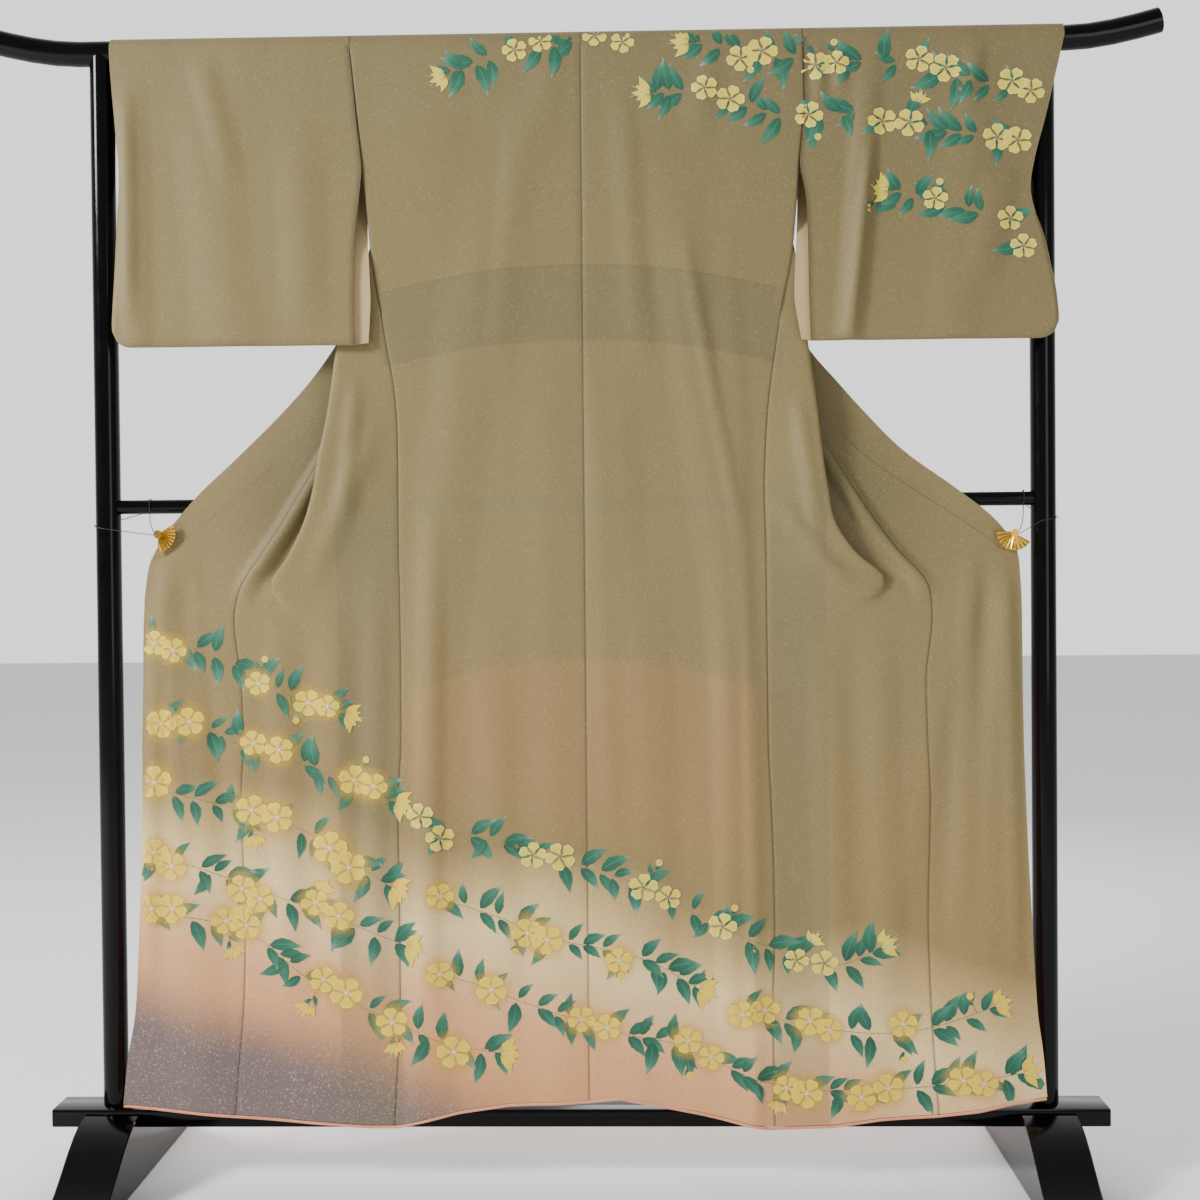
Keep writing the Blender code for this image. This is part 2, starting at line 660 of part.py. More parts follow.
def mid_rail():
    """Cross bar between the posts with hollowed ends."""
    obj = bar("mid_rail", MID_R, 2 * POST_X, (0, 0, MID_Z), 'X', 20)
    for side in (-1, 1):
        cut(obj, bar("seat", POST_R + GAP + 0.0002, 0.08, (side * POST_X, 0, MID_Z), 'Z', 48))
    return obj


def board():
    """Base board with eased edges."""
    bpy.ops.mesh.primitive_cube_add(size=1.0, location=(0, 0, (BOARD_LOW + BOARD_TOP) / 2))
    obj = bpy.context.active_object
    obj.name = "base_board"
    obj.data.name = "base_board"
    obj.scale = (2 * BOARD_HALF_X, 2 * BOARD_HALF_Y, BOARD_TOP - BOARD_LOW)
    bpy.ops.object.transform_apply(location=True, rotation=True, scale=True)
    mod = obj.modifiers.new("edge", 'BEVEL')
    mod.width = 0.003
    mod.segments = 2
    apply_all(obj)
    move_in(obj)
    return obj


def feet():
    """Two feet running front to back, each notched for the board."""
    out = []
    for side in (-1, 1):
        under = BOARD_LOW - GAP
        notch = BOARD_HALF_Y + GAP
        profile = [(-y, z) for y, z in FOOT_ROWS[:-1]] + [(-notch, FOOT_ROWS[-1][1]), (-notch, under)]
        profile += [(notch, under), (notch, FOOT_ROWS[-1][1])] + FOOT_ROWS[-2::-1]
        n = len(profile)
        x0 = side * FOOT_X - FOOT_WIDTH / 2
        x1 = side * FOOT_X + FOOT_WIDTH / 2
        verts = [(x0, y, z) for y, z in profile] + [(x1, y, z) for y, z in profile]
        faces = [tuple(range(n)), tuple(range(2 * n - 1, n - 1, -1))]
        faces += [(k, (k + 1) % n, n + (k + 1) % n, n + k) for k in range(n)]
        obj = mesh_object("foot_left" if side < 0 else "foot_right", verts, faces)
        outward(obj)
        mod = obj.modifiers.new("edge", 'BEVEL')
        mod.width = 0.0015
        mod.segments = 1
        mod.limit_method = 'ANGLE'
        mod.angle_limit = math.radians(50)
        apply_all(obj)
        out.append(obj)
    return out


def fan_clip(side, x, depth_y, z, first, last, ribs=10):
    """Folding-fan clip: pleated sector in front, jaw behind, joined past the cloth's edge."""
    steps = ribs * 2
    verts = []
    front = []
    back = []
    thick = 0.0014
    for k in range(steps + 1):
        a = math.radians(first + (last - first) * k / steps)
        ridge = 0.0009 if k % 2 else -0.0009
        for store, depth in ((front, -thick / 2), (back, thick / 2)):
            line = []
            for r, wave in ((0.004, 0.25), (0.012, 0.7), (FAN_R, 1.0)):
                line.append(len(verts))
                verts.append((x + r * math.cos(a), depth_y + depth - ridge * wave, z + r * math.sin(a)))
            store.append(line)
    faces = []
    for k in range(steps):
        faces += strip_faces(front[k], front[k + 1])
        faces += strip_faces(back[k + 1], back[k])
        faces.append((front[k][2], front[k + 1][2], back[k + 1][2], back[k][2]))
        faces.append((front[k][0], back[k][0], back[k + 1][0], front[k + 1][0]))
    for k in (0, steps):
        for r in range(2):
            faces.append((front[k][r], front[k][r + 1], back[k][r + 1], back[k][r]))
    obj = mesh_object("fan_clip_left" if side < 0 else "fan_clip_right", verts, faces)
    outward(obj)
    length = JAW_BACK + 0.0028
    hub = bar("hub", 0.0062, length, (x + side * 0.0005, depth_y - 0.0018 + length / 2, z), 'Y', 16)
    middle = math.radians((first + last) / 2)
    bpy.ops.mesh.primitive_cube_add(size=1.0, location=(0, 0, 0))
    jaw = bpy.context.active_object
    jaw.scale = (0.026, 0.0020, 0.012)
    jaw.rotation_euler = (0, -middle, 0)
    jaw.location = (x + 0.012 * math.cos(middle), depth_y + JAW_BACK, z + 0.012 * math.sin(middle))
    bpy.ops.object.transform_apply(location=True, rotation=True, scale=True)
    move_in(jaw)
    for other in (hub, jaw):
        mod = obj.modifiers.new("join", 'BOOLEAN')
        mod.operation = 'UNION'
        mod.solver = 'EXACT'
        mod.object = other
        apply_all(obj)
        bpy.data.objects.remove(other, do_unlink=True)
    return obj


def clip_cord(side, x, depth_y, z):
    """Thin cord from the clip's hub over the mid rail, round the post and back."""
    reach = MID_R + 0.0022
    wrap = POST_R + 0.0022
    px = side * POST_X
    base = abs(x)
    a = side * (base + 0.0082)
    path = [(a, depth_y + 0.004, z + 0.003), (side * (base + 0.014), -0.022, z + 0.018),
            (side * (base + 0.018), -reach, MID_Z - 0.002)]
    for deg in (30, 70, 110, 150):
        t = math.radians(deg)
        path.append((side * (base + 0.018 + deg * 0.00002), -reach * math.cos(t), MID_Z + reach * math.sin(t)))
    path.append((side * (base + 0.023), reach + 0.001, MID_Z - 0.006))
    for deg in range(110, -111, -20):
        t = math.radians(deg)
        dz = 0.014 * (110 - deg) / 220
        path.append((px + side * wrap * math.cos(t), wrap * math.sin(t), 0.996 - dz))
    path.append((side * (base + 0.0084), depth_y + 0.004, z - 0.001))
    return tube("clip_cord_left" if side < 0 else "clip_cord_right", path, 0.0008, 6)


def paint(obj, name, color, rough, metal=0.0):
    """One plain Principled material on an object."""
    mat = bpy.data.materials.get(name) or bpy.data.materials.new(name)
    mat.use_nodes = True
    node = mat.node_tree.nodes["Principled BSDF"]
    node.inputs["Base Color"].default_value = (*color, 1.0)
    node.inputs["Roughness"].default_value = rough
    node.inputs["Metallic"].default_value = metal
    mat.diffuse_color = (*color, 1.0)
    obj.data.materials.clear()
    obj.data.materials.append(mat)


for old in list(bpy.data.objects):
    bpy.data.objects.remove(old, do_unlink=True)
COLLECTION = bpy.data.collections.new("kimono on a stand")
bpy.context.scene.collection.children.link(COLLECTION)

lacquer = [top_rail(), mid_rail(), board()] + posts() + feet()
cloth = body_panel(-1) + body_panel(1)
cloth += [overlap_panel(-1), overlap_panel(1), collar(), sleeve(-1), sleeve(1)]
rolls = [hem_roll(-1), hem_roll(1)]
clips = [fan_clip(*row) for row in CLIPS]
cords = [clip_cord(*row[:4]) for row in CLIPS]

for piece in lacquer:
    paint(piece, "black lacquer", (0.010, 0.010, 0.012), 0.12)
for piece in cloth:
    paint(piece, "silk crepe", (0.37, 0.28, 0.17), 0.75)
for piece in rolls:
    paint(piece, "salmon lining silk", (0.80, 0.45, 0.32), 0.70)
for piece in clips:
    paint(piece, "gold plate", (0.80, 0.56, 0.14), 0.25, 1.0)
for piece in cords:
    paint(piece, "black cord", (0.02, 0.02, 0.02), 0.6)
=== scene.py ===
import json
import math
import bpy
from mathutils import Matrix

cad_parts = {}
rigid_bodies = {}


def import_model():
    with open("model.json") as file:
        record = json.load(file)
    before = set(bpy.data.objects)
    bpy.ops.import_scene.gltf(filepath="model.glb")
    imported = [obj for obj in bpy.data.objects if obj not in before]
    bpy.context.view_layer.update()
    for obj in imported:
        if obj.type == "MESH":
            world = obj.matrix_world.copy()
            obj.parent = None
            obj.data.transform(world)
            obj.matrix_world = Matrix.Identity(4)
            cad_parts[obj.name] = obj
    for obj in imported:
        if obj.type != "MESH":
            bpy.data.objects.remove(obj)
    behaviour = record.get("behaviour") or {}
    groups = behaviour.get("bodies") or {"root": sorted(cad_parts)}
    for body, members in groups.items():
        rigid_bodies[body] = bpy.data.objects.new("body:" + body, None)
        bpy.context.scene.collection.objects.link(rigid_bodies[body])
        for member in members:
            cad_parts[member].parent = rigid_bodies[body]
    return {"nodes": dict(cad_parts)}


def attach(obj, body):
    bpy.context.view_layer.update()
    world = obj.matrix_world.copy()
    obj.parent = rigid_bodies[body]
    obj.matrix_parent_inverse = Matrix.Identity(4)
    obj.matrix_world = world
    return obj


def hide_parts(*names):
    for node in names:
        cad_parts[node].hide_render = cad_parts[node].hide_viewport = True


bl_info = {
    "name": "Kimono on a stand",
    "version": (1, 0, 0),
    "blender": (4, 5, 0),
    "location": "View3D > Sidebar > Kimono",
    "description": "Silk shells, printed sprays and lacquer finish for the kimono on its stand",
    "category": "Object",
}

import bmesh
import bpy
import numpy as np
from mathutils import Matrix, Vector
from mathutils.bvhtree import BVHTree

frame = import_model()

COLLECTION = bpy.context.scene.collection

# Stand
RAIL_Z = 1.697
RAIL_R = 0.0187
POST_X = 0.7014
POST_R = 0.0187
MID_Z = 1.016
MID_R = 0.0107
BOARD_HALF_X = 0.79
BOARD_HALF_Y = 0.033
BOARD_LOW = 0.085
BOARD_TOP = 0.112
FOOT_X = 0.697
FOOT_WIDTH = 0.083
GAP = 0.0003
# Sides as seen by the photograph's viewer
TAGS = {-1: "left", 1: "right"}
# Upturned half of the top rail: x, z
RAIL_ROWS = [(0.0, 1.697), (0.40, 1.697), (0.735, 1.697), (0.770, 1.6992), (0.805, 1.7045),
             (0.840, 1.7120), (0.875, 1.721)]
# Half profile of a foot from its toe on the floor up to the board: y, z
FOOT_ROWS = [(0.240, 0.0), (0.240, 0.007), (0.222, 0.014), (0.196, 0.024), (0.170, 0.0365), (0.142, 0.055),
             (0.115, 0.074), (0.088, 0.090), (0.062, 0.1005), (0.0336, 0.1055)]

# Cloth
CLOTH = 0.0012
# Lowest row before it follows the hem, and the height from which the rows do
HEM_ROW_Z = 0.09
SETTLE_Z = 0.25
# Lower end of the armholes, and the height from which the folds below the clips show
ARMHOLE_LOW_Z = 1.375
CLIP_FOLD_Z = 0.95
# Rows of the front below the first height face the viewer, those above the second the far side
NEAR_ROWS_Z = 1.30
FAR_ROWS_Z = 1.46
RAIL_WRAP = RAIL_R + GAP + 0.0005 + CLOTH / 2
CENTRE_X = 0.019
NECK_W = 0.088

# Body panel sections by height. All w are distances out from X = 0.
# z, side edge, turn 1, turn 2, overlap seam, collar seam, free edge
LEFT_ROWS = [
    (1.697, 0.325, 0.240, 0.165, 0.115, 0.115, 0.066),
    (1.600, 0.316, 0.252, 0.150, 0.128, 0.128, 0.120),
    (1.510, 0.307, 0.272, 0.138, 0.160, 0.160, 0.205),
    (1.440, 0.300, 0.288, 0.142, 0.196, 0.196, 0.250),
    (1.375, 0.294, 0.304, 0.152, 0.228, 0.228, 0.289),
    (1.300, 0.281, 0.334, 0.180, 0.266, 0.266, 0.330),
    (1.236, 0.270, 0.353, 0.208, 0.290, 0.302, 0.368),
    (1.197, 0.263, 0.358, 0.232, 0.312, 0.331, 0.397),
    (1.146, 0.258, 0.365, 0.262, 0.337, 0.378, 0.443),
    (1.086, 0.257, 0.377, 0.298, 0.374, 0.436, 0.503),
    (1.030, 0.257, 0.387, 0.335, 0.408, 0.497, 0.562),
    (0.984, 0.257, 0.401, 0.368, 0.436, 0.553, 0.601),
    (0.938, 0.257, 0.424, 0.402, 0.466, 0.607, 0.629),
    (0.897, 0.256, 0.448, 0.444, 0.492, 0.612, 0.636),
    (0.850, 0.2555, 0.380, 0.440, 0.503, 0.615, 0.6385),
    (0.750, 0.255, 0.335, 0.414, 0.493, 0.616, 0.640),
    (0.650, 0.256, 0.334, 0.412, 0.491, 0.618, 0.642),
    (0.580, 0.261, 0.339, 0.417, 0.495, 0.618, 0.642),
    (0.390, 0.260, 0.337, 0.414, 0.491, 0.625, 0.649),
    (0.250, 0.260, 0.339, 0.418, 0.496, 0.634, 0.658),
    (0.190, 0.264, 0.343, 0.422, 0.501, 0.642, 0.667),
    (0.090, 0.270, 0.349, 0.428, 0.508, 0.651, 0.676),
]
RIGHT_ROWS = [
    (1.697, 0.347, 0.250, 0.170, 0.115, 0.115, 0.066),
    (1.600, 0.349, 0.270, 0.155, 0.130, 0.130, 0.122),
    (1.510, 0.340, 0.295, 0.145, 0.162, 0.162, 0.207),
    (1.440, 0.335, 0.318, 0.152, 0.200, 0.200, 0.254),
    (1.375, 0.328, 0.336, 0.165, 0.232, 0.232, 0.293),
    (1.300, 0.313, 0.347, 0.190, 0.262, 0.262, 0.328),
    (1.236, 0.303, 0.356, 0.218, 0.292, 0.294, 0.360),
    (1.197, 0.297, 0.361, 0.242, 0.316, 0.327, 0.393),
    (1.146, 0.291, 0.367, 0.270, 0.345, 0.371, 0.437),
    (1.086, 0.287, 0.373, 0.302, 0.385, 0.429, 0.495),
    (1.030, 0.285, 0.381, 0.334, 0.420, 0.505, 0.571),
    (0.984, 0.286, 0.390, 0.362, 0.450, 0.575, 0.627),
    (0.938, 0.287, 0.420, 0.396, 0.484, 0.633, 0.657),
    (0.897, 0.287, 0.462, 0.454, 0.521, 0.636, 0.660),
    (0.850, 0.287, 0.400, 0.466, 0.530, 0.637, 0.661),
    (0.750, 0.2875, 0.365, 0.442, 0.520, 0.637, 0.661),
    (0.650, 0.288, 0.366, 0.444, 0.522, 0.638, 0.662),
    (0.580, 0.291, 0.369, 0.447, 0.525, 0.640, 0.664),
    (0.390, 0.295, 0.371, 0.446, 0.521, 0.648, 0.672),
    (0.250, 0.291, 0.368, 0.446, 0.525, 0.656, 0.680),
    (0.190, 0.292, 0.370, 0.448, 0.528, 0.662, 0.686),
    (0.090, 0.293, 0.373, 0.453, 0.534, 0.668, 0.692),
]
# Depth of the same points by height: z, back panel, front layer, middle layer, far layer, free edge
DEPTH_ROWS = [
    (1.697, -0.0210, 0.0210, 0.0210, 0.0212, 0.0214),
    (1.600, -0.0228, 0.0225, 0.0230, 0.0250, 0.0275),
    (1.510, -0.0245, 0.0215, 0.0170, 0.0250, 0.0290),
    (1.440, -0.0260, 0.0020, 0.0060, 0.0180, 0.0220),
    (1.375, -0.0275, -0.0275, -0.0030, 0.0130, 0.0170),
    (1.300, -0.0295, -0.0310, -0.0080, 0.0060, 0.0090),
    (1.236, -0.0310, -0.0345, -0.0130, -0.0005, 0.0010),
    (1.197, -0.0318, -0.0365, -0.0170, -0.0040, -0.0030),
    (1.146, -0.0330, -0.0390, -0.0210, -0.0090, -0.0080),
    (1.086, -0.0340, -0.0410, -0.0260, -0.0160, -0.0160),
    (1.030, -0.0350, -0.0425, -0.0290, -0.0200, -0.0200),
    (0.984, -0.0360, -0.0435, -0.0310, -0.0220, -0.0220),
    (0.938, -0.0370, -0.0440, -0.0330, -0.0270, -0.0260),
    (0.897, -0.0380, -0.0435, -0.0370, -0.0330, -0.0330),
    (0.850, -0.0390, -0.0410, -0.0405, -0.0385, -0.0370),
    (0.750, -0.0405, -0.0410, -0.0410, -0.0410, -0.0400),
    (0.090, -0.0480, -0.0480, -0.0480, -0.0480, -0.0480),
]
# Lower edge of the whole garment: x, z
HEM_ROWS = [(-0.670, 0.125), (-0.575, 0.116), (-0.505, 0.109), (-0.394, 0.100), (-0.312, 0.094),
            (-0.266, 0.094), (-0.228, 0.103), (-0.176, 0.115), (-0.100, 0.126), (0.019, 0.131),
            (0.066, 0.136), (0.122, 0.125), (0.184, 0.113), (0.255, 0.097), (0.287, 0.091), (0.377, 0.094),
            (0.448, 0.103), (0.532, 0.109), (0.593, 0.117), (0.634, 0.126), (0.692, 0.135)]
# Soft standing folds of the back: side, w at top, w at z = 0.85, z where it starts, height out, half width
BACK_FOLDS = [
    (-1, 0.120, 0.205, 1.50, 0.0050, 0.030),
    (-1, 0.040, 0.030, 1.30, 0.0030, 0.022),
    (1, 0.150, 0.235, 1.52, 0.0055, 0.026),
    (1, 0.225, 0.262, 1.46, 0.0030, 0.014),
    (1, 0.060, 0.075, 1.25, 0.0030, 0.024),
]
# Folds that run down from the clips: side, w at the clip, z there, w at the hem, height out, half width
CLIP_FOLDS = [
    (-1, 0.602, 0.950, 0.560, 0.0060, 0.012),
    (-1, 0.590, 0.930, 0.455, -0.0050, 0.014),
    (1, 0.632, 0.940, 0.600, 0.0060, 0.012),
    (1, 0.622, 0.925, 0.470, -0.0060, 0.015),
]
# Sleeves: z, inner edge w of front, outer edge of front, outer edge of far layer, front depth,
# far depth in, far depth out, inner edge w of far layer
SLEEVE_LEFT = [
    (1.697, 0.3256, 0.685, 0.685, -0.0210, 0.0210, 0.0210, 0.3256),
    (1.651, 0.3212, 0.682, 0.682, -0.0225, 0.0225, 0.0215, 0.3212),
    (1.577, 0.3142, 0.675, 0.675, -0.0250, 0.0235, 0.0205, 0.3142),
    (1.510, 0.3076, 0.669, 0.669, -0.0280, 0.0210, 0.0130, 0.3076),
    (1.470, 0.3110, 0.669, 0.669, -0.0315, 0.0080, -0.0200, 0.3050),
    (1.393, 0.3180, 0.6715, 0.6715, -0.0395, -0.0290, -0.0300, 0.2985),
    (1.345, 0.3185, 0.6730, 0.6730, -0.0435, -0.0365, -0.0355, 0.2955),
    (1.319, 0.3190, 0.674, 0.674, -0.0455, -0.0382, -0.0370, 0.2945),
    (1.253, 0.3180, 0.676, 0.676, -0.0490, -0.0420, -0.0410, 0.2975),
]
SLEEVE_RIGHT = [
    (1.697, 0.3476, 0.731, 0.731, -0.0210, 0.0210, 0.0210, 0.3476),
    (1.651, 0.3488, 0.720, 0.722, -0.0225, 0.0225, 0.0220, 0.3488),
    (1.577, 0.3470, 0.702, 0.702, -0.0250, 0.0235, 0.0215, 0.3470),
    (1.510, 0.3410, 0.684, 0.674, -0.0280, 0.0210, 0.0080, 0.3410),
    (1.470, 0.3480, 0.677, 0.671, -0.0325, 0.0080, -0.0225, 0.3400),
    (1.393, 0.3510, 0.695, 0.695, -0.0400, -0.0290, -0.0310, 0.3345),
    (1.345, 0.3510, 0.704, 0.704, -0.0440, -0.0365, -0.0360, 0.3315),
    (1.319, 0.3510, 0.708, 0.708, -0.0460, -0.0382, -0.0372, 0.3305),
    (1.251, 0.3530, 0.713, 0.713, -0.0495, -0.0420, -0.0410, 0.3400),
]
SLEEVE_CLOSED_Z = 1.475
SLEEVE_CORNER = 0.030
FAR_CREASE_Z = 1.52
# Standing folds of the sleeves: side, w at the top, w at the bottom, height out, half width
SLEEVE_FOLDS = [(-1, 0.560, 0.500, 0.0040, 0.030), (-1, 0.655, 0.640, 0.0035, 0.016),
                (1, 0.450, 0.408, 0.0070, 0.013), (1, 0.610, 0.560, 0.0040, 0.026)]
# Collar: lower end, its distance behind the overlap, and its length under the overlap's edge
COLLAR_END_Z = 0.938
COLLAR_LAP = 0.0018
COLLAR_TAIL = 0.003
# Height from which the collar leaves the fronts and turns behind the neck, and its places across there
COLLAR_TURN_Z = 1.60
COLLAR_ACROSS = (-0.060, -0.030, 0.0, 0.030, 0.060)
# Half thickness of a turned fold, and how far its turn reaches
FOLD_R = 0.0030
FOLD_TIP = 0.008
# How far the points of a front section are drawn towards the viewer between clip and sleeve
FRONT_LIFTS = (0, 0.0085, 0.0100, 0.0070, -0.0010, -0.0030, -0.0030, 0)
# Depth to which the first three columns at a seam are drawn in, and their share of the painted shade line
# along the seam
SEAM_DEPTHS = (0.0013, 0.0007, 0.0001)
SEAM_SHADE_SHARES = (1.0, 0.5, 0.1)
# Upper end of the overlap panels
OVERLAP_TOP_Z = 1.215
# Finer creases: sheet, x and z of the upper end, x and z of the lower end, height out, half width
CREASES = [
    ("back", -0.070, 1.62, -0.105, 1.20, 0.0016, 0.016),
    ("back", 0.078, 1.63, 0.105, 1.22, 0.0016, 0.014),
    ("back", -0.030, 1.69, -0.050, 1.52, 0.0014, 0.018),
    ("back", 0.215, 1.69, 0.190, 1.56, 0.0018, 0.016),
    ("back", -0.205, 0.98, -0.218, 0.28, 0.0024, 0.013),
    ("back", -0.120, 0.82, -0.108, 0.22, 0.0016, 0.020),
    ("back", 0.112, 0.92, 0.125, 0.22, 0.0019, 0.020),
    ("back", 0.222, 0.84, 0.228, 0.24, 0.0022, 0.013),
    ("back", 0.034, 1.22, 0.052, 0.46, 0.0013, 0.012),
    ("back", 0.170, 1.40, 0.245, 0.98, 0.0020, 0.008),
    ("front", -0.318, 1.19, -0.338, 0.99, 0.0028, 0.009),
    ("front", -0.292, 1.12, -0.385, 0.90, 0.0028, 0.013),
    ("front", -0.360, 0.86, -0.350, 0.34, 0.0026, 0.019),
    ("front", -0.435, 0.82, -0.425, 0.28, 0.0022, 0.017),
    ("front", -0.290, 0.92, -0.300, 0.26, 0.0020, 0.013),
    ("front", 0.334, 1.16, 0.362, 0.96, 0.0030, 0.009),
    ("front", 0.306, 1.01, 0.405, 0.885, 0.0034, 0.010),
    ("front", 0.322, 0.94, 0.455, 0.872, 0.0028, 0.009),
    ("front", 0.376, 0.82, 0.384, 0.28, 0.0026, 0.019),
    ("front", 0.452, 0.83, 0.462, 0.28, 0.0021, 0.017),
    ("overlap", -0.575, 0.93, -0.535, 0.42, 0.0030, 0.013),
    ("overlap", -0.620, 0.88, -0.632, 0.32, 0.0026, 0.009),
    ("overlap", -0.585, 1.000, -0.455, 1.075, 0.0018, 0.008),
    ("overlap", 0.590, 0.92, 0.565, 0.38, 0.0032, 0.013),
    ("overlap", 0.640, 0.88, 0.648, 0.32, 0.0026, 0.009),
    ("overlap", 0.605, 0.995, 0.470, 1.075, 0.0018, 0.008),
    ("sleeve", -0.552, 1.690, -0.500, 1.500, 0.0015, 0.014),
    ("sleeve", -0.660, 1.620, -0.653, 1.300, 0.0030, 0.010),
    ("sleeve", -0.400, 1.560, -0.390, 1.270, 0.0018, 0.022),
    ("sleeve", 0.445, 1.540, 0.409, 1.256, 0.0036, 0.0070),
    ("sleeve", 0.368, 1.690, 0.372, 1.600, 0.0020, 0.007),
    ("sleeve", 0.405, 1.690, 0.400, 1.615, 0.0020, 0.007),
    ("sleeve", 0.603, 1.690, 0.585, 1.590, 0.0030, 0.011),
    ("sleeve", 0.640, 1.500, 0.602, 1.340, 0.0030, 0.018),
    ("far", -0.480, 1.680, -0.500, 1.320, 0.0040, 0.020),
    ("far", 0.520, 1.680, 0.540, 1.330, 0.0040, 0.020),
    ("far", -0.250, 1.660, -0.262, 1.480, 0.0030, 0.014),
    ("far", 0.260, 1.660, 0.280, 1.480, 0.0030, 0.014),
]
# Share by which the finer creases are drawn out
CREASE_SHARE = 1.8
# Printed sprays: front or far side, dye, flower radius, seed, course as x and z knots
SPRAYS = [
    (-1, "warm", 0.024, 3, [(-0.63, 0.82), (-0.52, 0.79), (-0.47, 0.75), (-0.40, 0.73), (-0.33, 0.70)]),
    (-1, "warm", 0.026, 5, [(-0.63, 0.705), (-0.53, 0.68), (-0.44, 0.645), (-0.35, 0.61), (-0.26, 0.57)]),
    (-1, "pale", 0.025, 8, [(-0.25, 0.555), (-0.20, 0.53), (-0.13, 0.52), (-0.04, 0.49), (0.05, 0.465),
                            (0.12, 0.44), (0.19, 0.40), (0.28, 0.36), (0.38, 0.33), (0.46, 0.36)]),
    (-1, "warm", 0.029, 13, [(-0.635, 0.60), (-0.54, 0.575), (-0.44, 0.55), (-0.35, 0.50), (-0.27, 0.445)]),
    (-1, "warm", 0.027, 21, [(-0.22, 0.435), (-0.12, 0.405), (-0.03, 0.37), (0.10, 0.34), (0.19, 0.29)]),
    (-1, "warm", 0.025, 34, [(0.23, 0.275), (0.34, 0.24), (0.49, 0.23), (0.62, 0.27)]),
    (-1, "warm", 0.028, 41, [(-0.635, 0.50), (-0.55, 0.475), (-0.49, 0.45), (-0.40, 0.42), (-0.25, 0.36)]),
    (-1, "warm", 0.026, 55, [(-0.22, 0.325), (-0.14, 0.30), (-0.06, 0.27), (0.07, 0.23), (0.16, 0.21),
                             (0.29, 0.155), (0.46, 0.145), (0.66, 0.17)]),
    (-1, "warm", 0.028, 62, [(-0.64, 0.41), (-0.55, 0.40), (-0.47, 0.37), (-0.38, 0.30), (-0.25, 0.24),
                             (-0.19, 0.215), (-0.11, 0.20)]),
    (-1, "pale", 0.023, 71, [(0.10, 1.705), (0.02, 1.70), (-0.06, 1.688), (-0.11, 1.678), (-0.19, 1.648)]),
    (-1, "pale", 0.025, 83, [(0.67, 1.545), (0.62, 1.545), (0.54, 1.56), (0.44, 1.585), (0.32, 1.582),
                             (0.22, 1.615), (0.12, 1.62)]),
    (-1, "pale", 0.026, 97, [(0.69, 1.61), (0.60, 1.63), (0.51, 1.655), (0.44, 1.66), (0.31, 1.672),
                             (0.17, 1.695)]),
    (-1, "pale", 0.025, 104, [(0.685, 1.375), (0.63, 1.42), (0.54, 1.45), (0.46, 1.472)]),
    (1, "pale", 0.025, 118, [(0.64, 1.58), (0.54, 1.60), (0.44, 1.585), (0.36, 1.60)]),
    (1, "pale", 0.024, 127, [(-0.60, 1.46), (-0.52, 1.44), (-0.44, 1.47)]),
]
# Materials of the prints in the order the motifs number them
PRINT_DYES = ["leaf", "pale", "warm", "halo", "stem", "cream"]
LEAF, PALE, WARM, HALO, STEM, CREAM = range(6)
# Stalk of a side leaf, and height of a flower as a share of its width
STALK = 0.004
FLOWER_SQUEEZE = 0.92
# Step in depth allowed across one face of a print, and how far its middle may dip under the cloth
PRINT_STEP = 0.004
PRINT_DIP = 0.0004

# Lights: name, place, target, width, height, share of the key power
LIGHTS = [
    ("key", (-4.4, -2.7, 3.2), (0, 0, 0.95), 1.3, 1.4, 1.0),
    ("fill", (2.0, -3.2, 1.3), (0, 0, 0.9), 1.2, 1.6, 0.05),
    ("rear", (0.6, 2.8, 2.4), (0, 0, 1.0), 1.6, 1.4, 0.10),
]
# Camera found from the stand's measured corners: place, then turn, tilt and roll in radians
CAMERA_PLACE = Vector((0.10336, -2.5, 0.91169))
CAMERA_YAW = 0.02519
CAMERA_PITCH = -0.01674
CAMERA_ROLL = 0.00897

MATERIALS = {}


def lookup(rows, z, column):
    """Value of a table column at height z, eased between the rows."""
    zs = np.array([r[0] for r in rows])[::-1]
    vs = np.array([r[column] for r in rows])[::-1]
    slope = np.gradient(vs, zs)
    k = int(np.clip(np.searchsorted(zs, z) - 1, 0, len(zs) - 2))
    h = zs[k + 1] - zs[k]
    t = min(max((z - zs[k]) / h, 0.0), 1.0)
    step = vs[k + 1] - vs[k]
    m0 = slope[k] * h
    m1 = slope[k + 1] * h
    if m0 * step <= 0:
        m0 = 0.0
    if m1 * step <= 0:
        m1 = 0.0
    m0 = max(min(m0, 3 * abs(step)), -3 * abs(step))
    m1 = max(min(m1, 3 * abs(step)), -3 * abs(step))
    a = 2 * t ** 3 - 3 * t ** 2 + 1
    b = t ** 3 - 2 * t ** 2 + t
    c = -2 * t ** 3 + 3 * t ** 2
    d = t ** 3 - t ** 2
    return a * vs[k] + b * m0 + c * vs[k + 1] + d * m1


def hem_z(x):
    """Height of the lower edge at x."""
    return float(np.interp(x, [r[0] for r in HEM_ROWS], [r[1] for r in HEM_ROWS]))


def settle(x, z):
    """Height of a row point once the rows near the floor follow the hem."""
    if z >= SETTLE_Z:
        return z
    return z + (hem_z(x) - HEM_ROW_Z) * (SETTLE_Z - z) / (SETTLE_Z - HEM_ROW_Z)


def clamp(value):
    """Value held between 0 and 1."""
    return min(1.0, max(0.0, value))


def bump(d, half):
    """Smooth ridge profile: 1 on its line, 0 beyond twice the half width."""
    t = min(abs(d) / (2 * half), 1.0)
    return (1 - t * t) ** 2


